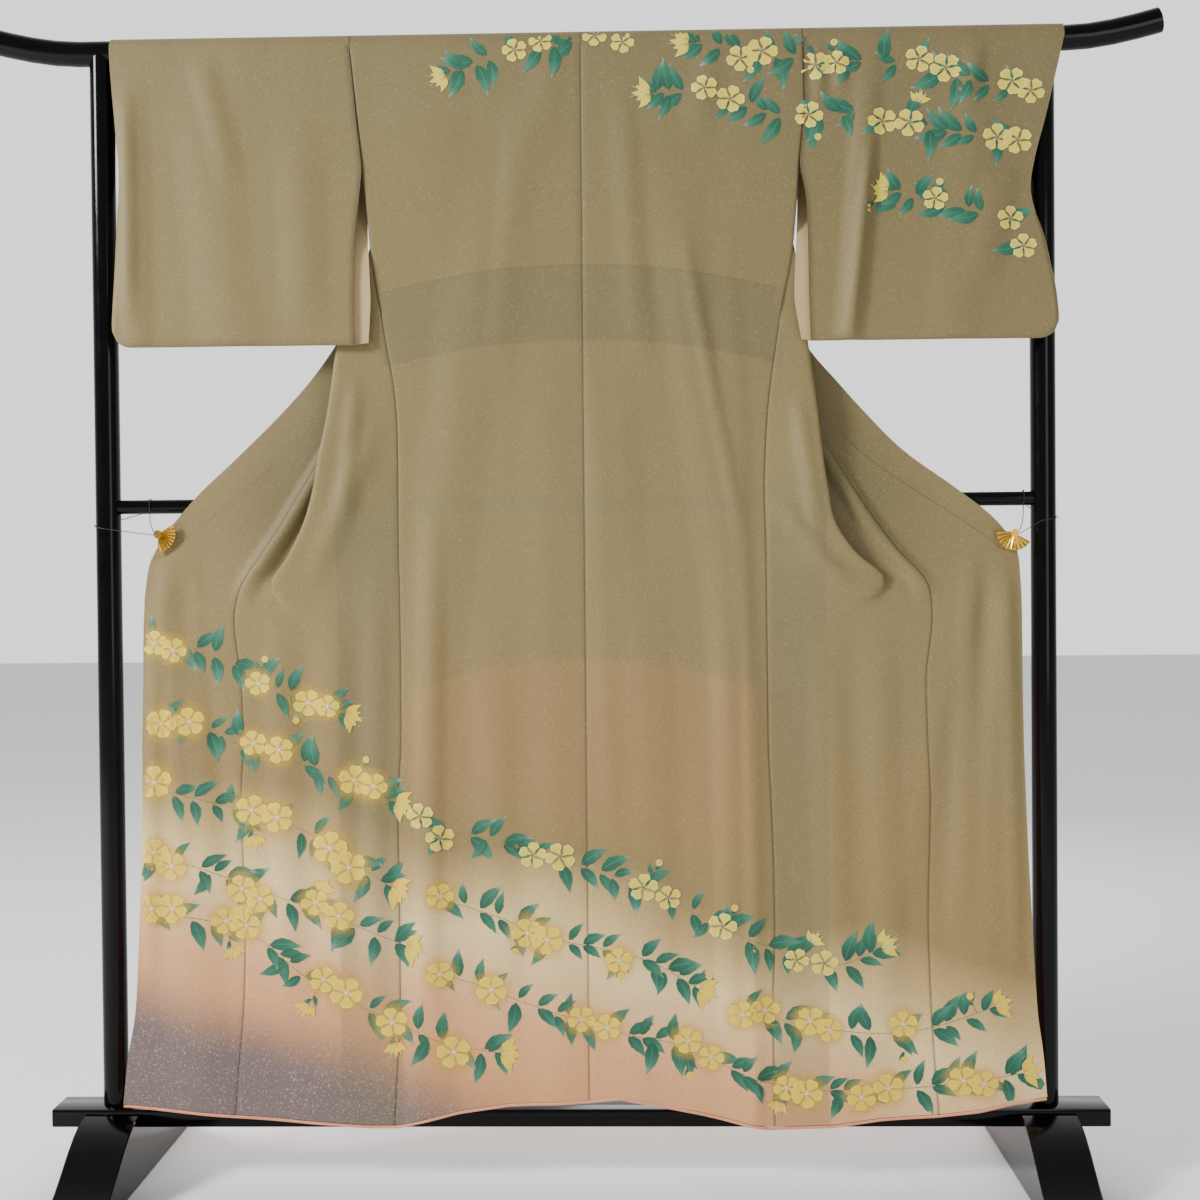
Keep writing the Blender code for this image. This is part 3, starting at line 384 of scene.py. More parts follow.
def back_relief(side, w, z):
    """How far the folds stand out of the back panel, towards the camera."""
    out = 0.0
    for s, top, low, start, height, half in BACK_FOLDS:
        if s != side or z > start:
            continue
        t = (start - z) / (start - 0.85)
        line = top + (low - top) * min(t, 1.25)
        rise = min((start - z) / 0.18, 1.0)
        out += height * rise * bump(w - line, half)
    edge = clamp((lookup(side_rows(side), z, 1) - w) / 0.03)
    return out * edge


def clip_relief(side, w, z):
    """How far the folds below a clip stand out."""
    out = 0.0
    for s, top, z_top, low, height, half in CLIP_FOLDS:
        if s != side or z > z_top:
            continue
        t = (z_top - z) / (z_top - HEM_ROW_Z)
        line = top + (low - top) * t
        rise = min((z_top - z) / 0.06, 1.0) * (1.0 - 0.45 * t)
        out += height * rise * bump(w - line, half * (1 + 1.6 * t))
    edge = clamp((lookup(side_rows(side), z, 6) - w) / 0.012)
    return out * edge


def side_rows(side):
    """Section table of one side of the garment."""
    return LEFT_ROWS if side < 0 else RIGHT_ROWS


def front_section(side, z):
    """Section points of the front panel from the side seam to its last seam: w, y."""
    rows = side_rows(side)
    s, f1, f2, n = (lookup(rows, z, k) for k in (1, 2, 3, 4))
    back, ya, yb, yc = (lookup(DEPTH_ROWS, z, k) for k in (1, 2, 3, 4))
    start = back if z <= ARMHOLE_LOW_Z else ya
    one, two, three = (max(-FOLD_TIP, min(FOLD_TIP, d / 4)) for d in (f1 - s, f2 - f1, n - f2))
    r1 = FOLD_R * clamp(-4 * one * two / FOLD_TIP ** 2)
    r2 = FOLD_R * clamp(-4 * two * three / FOLD_TIP ** 2)
    return [(s, start), (f1 - one, ya), (f1, ya + r1), (f1 + two, ya + 2 * r1), (f2 - two, yb),
            (f2, yb + r2), (f2 + three, yb + 2 * r2), (n, yc)]


def between(a, b, t):
    """Point at share t of the way from a to b."""
    return tuple(p + (q - p) * t for p, q in zip(a, b))


def along(points, counts):
    """Evenly spread points on each leg of a section."""
    out = [points[0]]
    for a, b, n in zip(points, points[1:], counts):
        out += [between(a, b, k / n) for k in range(1, n + 1)]
    return out


def heights(step):
    """Row heights from hem to shoulder, with two close ones at the collar's lower end."""
    out = [HEM_ROW_Z]
    while out[-1] < RAIL_Z - 1e-6:
        out.append(min(out[-1] + step, RAIL_Z))
    if out[-1] - out[-2] < 0.4 * step:
        del out[-2]
    out = [z for z in out if abs(z - COLLAR_END_Z) > 0.4 * step]
    return sorted(out + [COLLAR_END_Z, COLLAR_END_Z + 0.002])


def mesh_object(name, verts, faces):
    """New object from vertices and faces."""
    mesh = bpy.data.meshes.new(name)
    mesh.from_pydata(verts, [], faces)
    mesh.validate()
    obj = bpy.data.objects.new(name, mesh)
    COLLECTION.objects.link(obj)
    return obj


def thicken(obj, amount):
    """Give a sheet its cloth thickness, lining on its inner side."""
    obj.data.materials.append(material("silk"))
    obj.data.materials.append(material("lining"))
    bm = bmesh.new()
    bm.from_mesh(obj.data)
    bmesh.ops.recalc_face_normals(bm, faces=bm.faces)
    bm.normal_update()
    bm.faces.ensure_lookup_table()
    if bm.faces[0].normal.y > 0:
        bmesh.ops.reverse_faces(bm, faces=bm.faces)
    bm.to_mesh(obj.data)
    bm.free()
    mod = obj.modifiers.new("cloth", 'SOLIDIFY')
    mod.material_offset = 1
    mod.thickness = amount
    mod.offset = 0.0
    apply_all(obj)


def select_only(obj):
    """Select one object and make it the active one."""
    bpy.ops.object.select_all(action='DESELECT')
    obj.select_set(True)
    bpy.context.view_layer.objects.active = obj


def apply_all(obj):
    """Apply every modifier of an object."""
    select_only(obj)
    for mod in list(obj.modifiers):
        bpy.ops.object.modifier_apply(modifier=mod.name)


def outward(obj):
    """Turn all faces of a closed body outwards."""
    bm = bmesh.new()
    bm.from_mesh(obj.data)
    bmesh.ops.recalc_face_normals(bm, faces=bm.faces)
    if bm.calc_volume(signed=True) < 0:
        bmesh.ops.reverse_faces(bm, faces=bm.faces)
    bm.to_mesh(obj.data)
    bm.free()


def add_row(verts, line):
    """Add a row of vertices and return its indices."""
    first = len(verts)
    verts.extend(line)
    return list(range(first, len(verts)))


def grid_faces(lines):
    """Quads between each index row and the next."""
    return [(a[k], a[k + 1], b[k + 1], b[k]) for a, b in zip(lines, lines[1:]) for k in range(len(a) - 1)]


def collar_line(step):
    """Collar from the left clip round the neck to the right clip: pairs of seam and free edge points."""
    out = []
    for side in (-1, 1):
        part = []
        rows = side_rows(side)
        for z in heights(step):
            if z < COLLAR_END_Z or z > COLLAR_TURN_Z:
                continue
            w0 = lookup(rows, z, 5)
            w1 = lookup(rows, z, 6)
            y0 = lookup(DEPTH_ROWS, z, 4)
            y1 = lookup(DEPTH_ROWS, z, 5)
            if z < OVERLAP_TOP_Z:
                n = lookup(rows, z, 4)
                y0 += (y1 - y0) * (w0 - n) / (w1 - n)
            if not part:
                z -= COLLAR_TAIL
            part.append(((side * w0, y0 + COLLAR_LAP, z), (side * w1, y1 + COLLAR_LAP, z)))
        out.append(part)
    return out


def collar(columns, step, shell):
    """Neck band: down both free edges and across behind the neck."""
    left, right = collar_line(step)
    across = []
    for x in COLLAR_ACROSS:
        drop = 0.010 * (1 - (abs(x) / 0.066) ** 2)
        across.append(((x * 0.8, 0.0285, 1.640 - drop), (x, 0.0245, 1.692)))
    pairs = left + across + right[::-1]
    verts = []
    index = [add_row(verts, [between(a, b, k / columns) for k in range(columns + 1)]) for a, b in pairs]
    obj = mesh_object("collar", verts, grid_faces(index))
    # Painted shade under the drawn folds, fading out from the overlap seam
    under = []
    for x, _, z in verts:
        seam_w = lookup(side_rows(x), z, 4) if z < RAIL_Z - 0.1 else abs(x)
        under.append(fold_shade_share(abs(x) - seam_w, z))
    mark_fold_shade(obj, under)
    thicken(obj, shell)
    return obj


def over_rail(widths, angle):
    """Row of cloth lying on the rail, by its angle from the viewer's side."""
    y = -RAIL_WRAP * math.cos(angle)
    z = RAIL_Z + RAIL_WRAP * math.sin(angle)
    return [(x, y, z) for x in widths]


def armhole_w(side, z, step):
    """Side edge of the body panel at z as its rows draw it."""
    zs = heights(step)
    return float(np.interp(z, zs, [lookup(side_rows(side), k, 1) for k in zs]))


def sleeve_depth(side, table, z, w, t, far):
    """Depth of a sleeve's near or far layer at w, a share t of the way out."""
    if far:
        inner, outer = (lookup(table, z, k) for k in (5, 6))
        y = inner + (outer - inner) * clamp((t - 0.2) / 0.7)
        if z > FAR_CREASE_Z:
            y += crease("far", side * w, z) * min(1.0, (RAIL_Z - z) / 0.04)
        return y
    y = lookup(table, z, 4)
    drop = (table[0][0] - z) / (table[0][0] - table[-1][0])
    for s, w_top, w_low, height, half in SLEEVE_FOLDS:
        if s == side:
            y -= height * min(1.0, drop * 3) * bump(w - (w_top + (w_low - w_top) * drop), half)
    return y - crease("sleeve", side * w, z) * min(1.0, drop * 12)


def sleeve_row(side, table, z, columns, least, far):
    """Row of a sleeve's near or far layer, with the outer lower corner rounded."""
    inner, outer = (lookup(table, z, k) for k in ((7, 3) if far else (1, 2)))
    inner = max(inner, least)
    fall = max(0.0, 1 - (z - table[-1][0]) / 0.10)
    line = []
    for j in range(columns + 1):
        t = j / columns
        w = inner + (outer - inner) * t
        corner = max(0.0, (w - (outer - SLEEVE_CORNER)) / SLEEVE_CORNER)
        lift = SLEEVE_CORNER * 0.75 * (1 - math.sqrt(max(0.0, 1 - corner * corner)))
        line.append((side * w, sleeve_depth(side, table, z, w, t, far), z + lift * fall))
    return line


def sleeve(side, rows_n, columns, arc, step, shell):
    """Sleeve as a bag over the rail: cuff open above, sewn below, body side open."""
    table = SLEEVE_LEFT if side < 0 else SLEEVE_RIGHT
    top = table[0][0]
    low = table[-1][0]
    near = []
    far = []
    closed = 0
    for i in range(rows_n + 1):
        z = low + (top - low) * i / rows_n
        if abs(z - SLEEVE_CLOSED_Z) < (top - low) / rows_n / 2:
            z = SLEEVE_CLOSED_Z
        least = armhole_w(side, z, step)
        near.append(sleeve_row(side, table, z, columns, least, False))
        far.append(sleeve_row(side, table, z, columns, least, True))
        closed += z <= SLEEVE_CLOSED_Z
    widths = [p[0] for p in near[-1]]
    near[-1] = over_rail(widths, 0.0)
    far[-1] = over_rail(widths, math.pi)
    verts = []
    near_index = [add_row(verts, line) for line in near]
    arc_index = [add_row(verts, over_rail(widths, math.pi * k / arc)) for k in range(1, arc)]
    far_index = [add_row(verts, line) for line in far]
    faces = grid_faces(near_index + arc_index + far_index[::-1])
    # Lower edge between the layers, a little shorter at its outer corner
    below = [(a[0], (a[1] + b[1]) / 2, min(a[2], b[2]) - 0.003) for a, b in zip(near[0], far[0])]
    a = near[0][-1]
    b = far[0][-1]
    below[-1] = (a[0] + side * 0.0015, (a[1] + b[1]) / 2, min(a[2], b[2]) - 0.001)
    below_index = add_row(verts, below)
    faces += grid_faces([near_index[0], below_index, far_index[0]])
    # Sewn part of the outer edge
    edge = [below_index[-1]]
    for a, b in zip(near[1:closed], far[1:closed]):
        x, y, z = ((p + q) / 2 for p, q in zip(a[-1], b[-1]))
        edge += add_row(verts, [(x + side * 0.0025, y, z)])
    near_edge, far_edge = ([line[-1] for line in lines[:closed]] for lines in (near_index, far_index))
    faces += grid_faces([near_edge, edge, far_edge])
    obj = mesh_object("sleeve", verts, faces)
    # Painted shade along the sleeve's seam at the armhole
    mark_seam_shade(obj, near_index, (0,))
    thicken(obj, shell)
    return obj


def tube(name, points, radius, sides):
    """Round tube along a path as a bevelled curve turned to a mesh."""
    curve = bpy.data.curves.new(name, 'CURVE')
    curve.dimensions = '3D'
    curve.bevel_depth = radius
    curve.bevel_resolution = max(0, sides // 4 - 1)
    curve.use_fill_caps = True
    spline = curve.splines.new('POLY')
    spline.points.add(len(points) - 1)
    for p, q in zip(spline.points, points):
        p.co = (*q, 1.0)
    holder = bpy.data.objects.new(name + "_path", curve)
    COLLECTION.objects.link(holder)
    select_only(holder)
    bpy.ops.object.convert(target='MESH')
    obj = bpy.context.view_layer.objects.active
    obj.name = name
    obj.data.name = name
    bm = bmesh.new()
    bm.from_mesh(obj.data)
    bmesh.ops.remove_doubles(bm, verts=bm.verts, dist=0.00001)
    bm.to_mesh(obj.data)
    bm.free()
    outward(obj)
    return obj


def hem_roll(side, steps):
    """Rolled lip of the lining just below the cloth's lower edge."""
    rows = side_rows(side)
    outer = lookup(rows, HEM_ROW_Z, 6)
    start = side * CENTRE_X
    points = []
    for k in range(steps + 1):
        w = start + (outer - 0.001 - start) * k / steps
        y = lookup(DEPTH_ROWS, HEM_ROW_Z, 1)
        relief = back_relief if w < lookup(rows, HEM_ROW_Z, 1) else clip_relief
        y -= relief(side, w, HEM_ROW_Z)
        points.append((side * w, y, hem_z(side * w) - 0.0030))
    return tube("hem_roll_" + TAGS[side], points, 0.0021, 8)


def bar(name, radius, length, location, axis, sides):
    """Cylinder along X or Z."""
    turn = (0, math.pi / 2 if axis == 'X' else 0, 0)
    bpy.ops.mesh.primitive_cylinder_add(vertices=sides, radius=radius, depth=length, location=location,
                                        rotation=turn)
    obj = bpy.context.active_object
    obj.name = name
    obj.data.name = name
    bpy.ops.object.transform_apply(location=True, rotation=True, scale=True)
    move_in(obj)
    return obj


def move_in(obj):
    """Put an object in the part's collection alone."""
    for group in list(obj.users_collection):
        group.objects.unlink(obj)
    COLLECTION.objects.link(obj)


def ease(obj, width, segments, angle):
    """Bevel the edges that turn by more than an angle."""
    mod = obj.modifiers.new("edge", 'BEVEL')
    mod.width = width
    mod.segments = segments
    mod.limit_method = 'ANGLE'
    mod.angle_limit = math.radians(angle)
    apply_all(obj)


def cut(obj, cutter):
    """Subtract a cutter with an exact boolean and remove the cutter."""
    mod = obj.modifiers.new("cut", 'BOOLEAN')
    mod.operation = 'DIFFERENCE'
    mod.solver = 'EXACT'
    mod.object = cutter
    apply_all(obj)
    bpy.data.objects.remove(cutter, do_unlink=True)


def top_rail():
    """Round rail with both ends turned up."""
    half = [(x, 0.0, z) for x, z in RAIL_ROWS]
    points = [(-x, y, z) for x, y, z in half[:0:-1]] + half
    return tube("top_rail", points, RAIL_R, 48)


def posts():
    """Two posts hollowed on top to seat the rail."""
    out = []
    for side in (-1, 1):
        low = BOARD_TOP + GAP
        high = RAIL_Z - 0.004
        obj = bar("post_" + TAGS[side], POST_R, high - low, (side * POST_X, 0, (low + high) / 2), 'Z', 48)
        cut(obj, bar("saddle", RAIL_R + GAP + 0.0002, 0.2, (side * POST_X, 0, RAIL_Z + 0.0003), 'X', 48))
        out.append(obj)
    return out


def mid_rail():
    """Cross bar between the posts with hollowed ends."""
    obj = bar("mid_rail", MID_R, 2 * POST_X, (0, 0, MID_Z), 'X', 40)
    for side in (-1, 1):
        cut(obj, bar("seat", POST_R + GAP + 0.0002, 0.08, (side * POST_X, 0, MID_Z), 'Z', 48))
    return obj


def board():
    """Base board with eased edges."""
    bpy.ops.mesh.primitive_cube_add(size=1.0, location=(0, 0, (BOARD_LOW + BOARD_TOP) / 2))
    obj = bpy.context.active_object
    obj.name = "base_board"
    obj.data.name = "base_board"
    obj.scale = (2 * BOARD_HALF_X, 2 * BOARD_HALF_Y, BOARD_TOP - BOARD_LOW)
    bpy.ops.object.transform_apply(location=True, rotation=True, scale=True)
    ease(obj, 0.003, 2, 30)
    move_in(obj)
    return obj


def feet():
    """Two feet running front to back, each notched for the board."""
    out = []
    for side in (-1, 1):
        under = BOARD_LOW - GAP
        notch = BOARD_HALF_Y + GAP
        profile = [(-y, z) for y, z in FOOT_ROWS[:-1]] + [(-notch, FOOT_ROWS[-1][1]), (-notch, under)]
        profile += [(notch, under), (notch, FOOT_ROWS[-1][1])] + FOOT_ROWS[-2::-1]
        n = len(profile)
        x0 = side * FOOT_X - FOOT_WIDTH / 2
        x1 = side * FOOT_X + FOOT_WIDTH / 2
        verts = [(x0, y, z) for y, z in profile] + [(x1, y, z) for y, z in profile]
        faces = [tuple(range(n)), tuple(range(2 * n - 1, n - 1, -1))]
        faces += [(k, (k + 1) % n, n + (k + 1) % n, n + k) for k in range(n)]
        obj = mesh_object("foot_" + TAGS[side], verts, faces)
        outward(obj)
        ease(obj, 0.0015, 1, 50)
        out.append(obj)
    return out


def crease(kind, x, z):
    """How far the finer creases stand out of a sheet at x and z."""
    out = 0.0
    for k, x0, z0, x1, z1, height, half in CREASES:
        if k != kind or abs(x - (x0 + x1) / 2) > 0.12:
            continue
        dx = x1 - x0
        dz = z1 - z0
        t = ((x - x0) * dx + (z - z0) * dz) / (dx * dx + dz * dz)
        if t <= -0.1 or t >= 1.1:
            continue
        near = min(max(t, 0.0), 1.0)
        d = math.hypot(x - x0 - dx * near, z - z0 - dz * near)
        out += CREASE_SHARE * height * min(1.0, (t + 0.1) / 0.3, (1.1 - t) / 0.3) * bump(d, half)
    return out


def soften(points, passes):
    """Round the corners of a section, ends kept."""
    for _ in range(passes):
        points = [points[0]] + [
            ((a[0] + 2 * b[0] + c[0]) / 4, (a[1] + 2 * b[1] + c[1]) / 4)
            for a, b, c in zip(points, points[1:], points[2:])
        ] + [points[-1]]
    return points


def inset(points):
    """Add two close columns inside each end of a row, for its seams."""
    def towards(a, b, distance, most):
        """Point at a distance from a on the way to b."""
        return between(a, b, min(distance / max(math.dist(a, b), 1e-6), most))

    first = [towards(points[0], points[1], 0.0012, 0.3), towards(points[0], points[1], 0.0032, 0.6)]
    last = [towards(points[-1], points[-2], 0.0032, 0.6), towards(points[-1], points[-2], 0.0012, 0.3)]
    return [points[0]] + first + points[1:-1] + last + [points[-1]]


def sink(line, way, ends=(0, -1)):
    """Draw the seamed ends of a row back from the viewer."""
    line = [list(p) for p in line]
    for end in ends:
        for k, depth in enumerate(SEAM_DEPTHS):
            line[k if end == 0 else -1 - k][1] += way * depth
    return [tuple(p) for p in line]


def mark_fold_shade(obj, values):
    """Mark how far each vertex lies under the drawn folds, for the silk's painted shade there."""
    layer = obj.data.attributes.new("under", 'FLOAT', 'POINT')
    for item, value in zip(layer.data, values):
        item.value = value


def drawn(z):
    """Share of the drawn folds at a height: full between the clips and the sleeves."""
    return clamp((1.36 - z) / 0.06) * clamp((z - 0.87) / 0.16)


def fold_shade_share(out, z):
    """How far cloth lies under the drawn folds, by its distance out from the overlap seam: its share of
    painted shade there.
    """
    return clamp(1 - out / 0.16) * drawn(z)


def seam_ridge(side, w, z):
    """Fold standing along the inner side of the overlap seam between clip and sleeve."""
    share = clamp((1.20 - z) / 0.10) * clamp((z - 0.86) / 0.06)
    return 0.0105 * share * bump(w - lookup(side_rows(side), z, 4) + 0.010, 0.012)


def mark_seam_shade(obj, lines, ends):
    """Mark the seamed ends of the rows for the silk's painted shade line along the seams."""
    layer = obj.data.attributes.new("seam", 'FLOAT', 'POINT')
    for line in lines:
        for end in ends:
            for k, share in enumerate(SEAM_SHADE_SHARES):
                layer.data[line[k if end == 0 else -1 - k]].value = share


def raised(points, z):
    """Draw the outer fold edge of a front section towards the viewer below the sleeve."""
    share = clamp((1.21 - z) / 0.12) * clamp((z - 0.88) / 0.07)
    return [(w, y - k * share) for (w, y), k in zip(points, FRONT_LIFTS)]


def body_grid(side, counts, step, arc, inner):
    """Rows of a body panel from the back hem over the rail, then down its front."""
    total = sum(counts)
    rows = side_rows(side)
    levels = heights(step)
    centre = side * CENTRE_X
    middle = inset([(centre + (NECK_W - centre) * k / inner,) for k in range(inner + 1)])[:-1]
    grid = []
    for z in levels:
        s = lookup(rows, z, 1)
        y = lookup(DEPTH_ROWS, z, 1)
        ws = middle + inset([(NECK_W + (s - NECK_W) * k / total,) for k in range(total + 1)])
        line = [(side * w, y - back_relief(side, w, z) - crease("back", side * w, z), settle(side * w, z))
                for w, in ws]
        grid.append(sink(line, 1))
    widths = [p[0] for p in grid[-1]]
    grid[-1] = over_rail(widths, 0.0)
    for k in range(1, arc + 1):
        grid.append(over_rail(widths, math.pi * k / arc))
    front = []
    for z in reversed(levels[:-1]):
        line = []
        row = inset(soften(along(raised(front_section(side, z), z), counts), 3)[::-1])
        for k, (w, y) in enumerate(row):
            if z < CLIP_FOLD_Z:
                y -= clip_relief(side, w, z)
            if k < sum(counts[4:]) + 4:
                y -= seam_ridge(side, w, z)
            if z < NEAR_ROWS_Z:
                y -= crease("front", side * w, z)
            elif z > FAR_ROWS_Z:
                y += crease("far", side * w, z)
            line.append((side * w, y, settle(side * w, z)))
        front.append(sink(line, 1 if z < NEAR_ROWS_Z else -1))
    return grid, front, len(middle)


def body_panel(side, counts, step, arc, inner, shell):
    """Back and front of one side in one length over the rail."""
    grid, front, skip = body_grid(side, counts, step, arc, inner)
    verts = []
    index = [add_row(verts, line) for line in grid + front]
    back = index[:len(grid)]
    down = [back[-1][skip:]] + index[len(grid):]
    obj = mesh_object("body", verts, grid_faces(back) + grid_faces(down))
    # Painted shade along both seamed ends of every row
    mark_seam_shade(obj, index, (0, -1))
    # Painted shade: none on the back; on the front, the layers past its first fold between clips and
    # sleeves
    under = [0.0] * sum(len(line) for line in grid)
    fold = sum(counts[:3]) + 2
    for line in front:
        for k in range(len(line)):
            share = clamp((len(line) - 1 - k - fold) / 3)
            under.append(share * drawn(line[k][2]))
    mark_fold_shade(obj, under)
    thicken(obj, shell)
    return obj


def overlap_panel(side, columns, step, shell):
    """Overlap panel between its seam and the free front edge."""
    rows = side_rows(side)
    verts = []
    index = []
    for z in heights(step):
        if z > OVERLAP_TOP_Z:
            break
        n = lookup(rows, z, 4)
        end = lookup(rows, z, 5) if z > COLLAR_END_Z else lookup(rows, z, 6)
        y0 = lookup(DEPTH_ROWS, z, 4)
        y1 = lookup(DEPTH_ROWS, z, 5)
        line = []
        for w, in inset([(n + (end - n) * k / columns,) for k in range(columns + 1)]):
            y = y0 + (y1 - y0) * (w - n) / (lookup(rows, z, 6) - n)
            if z < CLIP_FOLD_Z:
                y -= clip_relief(side, w, z)
            y -= crease("overlap", side * w, z) + seam_ridge(side, w, z)
            line.append((side * w, y, settle(side * w, z)))
        index.append(add_row(verts, sink(line, 1, (0,))))
    obj = mesh_object("overlap", verts, grid_faces(index))
    # Painted shade along the overlap seam
    mark_seam_shade(obj, index, (0,))
    # Painted shade under the drawn folds, fading out from the overlap seam
    mark_fold_shade(obj, [fold_shade_share(abs(x) - lookup(rows, z, 4), z) for x, _, z in verts])
    thicken(obj, shell)
    return obj


def linear(text):
    """sRGB hex to a linear colour."""
    values = [int(text[k:k + 2], 16) / 255 for k in (0, 2, 4)]
    return tuple(v / 12.92 if v <= 0.04045 else ((v + 0.055) / 1.055) ** 2.4 for v in values) + (1.0,)


def feed(tree, item, inputs):
    """Set a node's inputs, each by value or by link."""
    for key, value in inputs.items():
        if isinstance(value, bpy.types.NodeSocket):
            tree.links.new(value, item.inputs[key])
        else:
            item.inputs[key].default_value = value
    return item


def node(tree, kind, inputs=None, **settings):
    """Add a shader node with its own properties and its inputs."""
    item = tree.nodes.new(kind)
    for key, value in settings.items():
        setattr(item, key, value)
    return feed(tree, item, inputs or {})


def calc(tree, op, a, b=0.0):
    """Math node output."""
    return node(tree, 'ShaderNodeMath', {0: a, 1: b}, operation=op).outputs[0]


def plus(tree, a, b):
    """Sum of two values."""
    return calc(tree, 'ADD', a, b)


def times(tree, first, *others):
    """Product of two or more values."""
    for other in others:
        first = calc(tree, 'MULTIPLY', first, other)
    return first


def away(tree, value, middle):
    """Distance of a value from a middle."""
    return calc(tree, 'ABSOLUTE', calc(tree, 'SUBTRACT', value, middle))


def fade(tree, value, low, high, to_low=0.0, to_high=1.0):
    """Smooth step of a value from low to high."""
    inputs = {'Value': value, 'From Min': low, 'From Max': high, 'To Min': to_low, 'To Max': to_high}
    return node(tree, 'ShaderNodeMapRange', inputs, interpolation_type='SMOOTHSTEP').outputs['Result']


def noise(tree, place, scale, detail=2.0, roughness=0.5, distortion=0.0):
    """Noise texture value."""
    inputs = {'Vector': place, 'Scale': scale, 'Detail': detail, 'Roughness': roughness,
              'Distortion': distortion}
    return node(tree, 'ShaderNodeTexNoise', inputs).outputs['Fac']


def drift(tree, place, scale, detail, width):
    """Noise that swings about zero, over a width."""
    return times(tree, calc(tree, 'SUBTRACT', noise(tree, place, scale, detail), 0.5), width)


def blend_colour(tree, factor, a, b):
    """Colour mix output."""
    return node(tree, 'ShaderNodeMix', {0: factor, 6: a, 7: b}, data_type='RGBA').outputs[2]


def tint(tree, colour, share, strength, text):
    """Lay a hex colour over a colour, by a share and a strength."""
    return blend_colour(tree, times(tree, share, strength), colour, linear(text))


def ramp(tree, factor, stops):
    """Colour ramp over stops of position and hex colour."""
    item = node(tree, 'ShaderNodeValToRGB', {'Fac': factor})
    band = item.color_ramp
    while len(band.elements) < len(stops):
        band.elements.new(1.0)
    for element, (position, text) in zip(band.elements, stops):
        element.position = position
        element.color = linear(text)
    return item.outputs['Color']


def mark(tree, name):
    """Share from a mark on the mesh."""
    return fade(tree, node(tree, 'ShaderNodeAttribute', attribute_name=name).outputs['Fac'], 0.0, 1.0)


def motif_place(tree):
    """Outputs with a motif's own coordinates: X along it from its foot, Y across it."""
    place = node(tree, 'ShaderNodeUVMap').outputs['UV']
    return node(tree, 'ShaderNodeSeparateXYZ', {'Vector': place}).outputs


def new_material(name):
    """Node material with its tree, its shader and its object coordinates."""
    mat = bpy.data.materials.new(name)
    mat.use_nodes = True
    tree = mat.node_tree
    return mat, tree, tree.nodes["Principled BSDF"], node(tree, 'ShaderNodeTexCoord').outputs['Object']


def crepe(tree, position, strength, ripple=0.0):
    """Normal of pebbled crepe, about 1.2 mm from bump to bump, over faint long ripples."""
    grain = {'Height': noise(tree, position, 820.0), 'Strength': strength, 'Distance': 0.0004}
    if ripple:
        hang = node(tree, 'ShaderNodeVectorMath', {0: position, 1: (8.0, 0.0, 1.8)}, operation='MULTIPLY')
        wave = noise(tree, hang.outputs['Vector'], 1.0, 1.0, distortion=0.3)
        under = node(tree, 'ShaderNodeBump', {'Height': wave, 'Strength': 1.0, 'Distance': ripple})
        grain['Normal'] = under.outputs['Normal']
    return node(tree, 'ShaderNodeBump', grain).outputs['Normal']


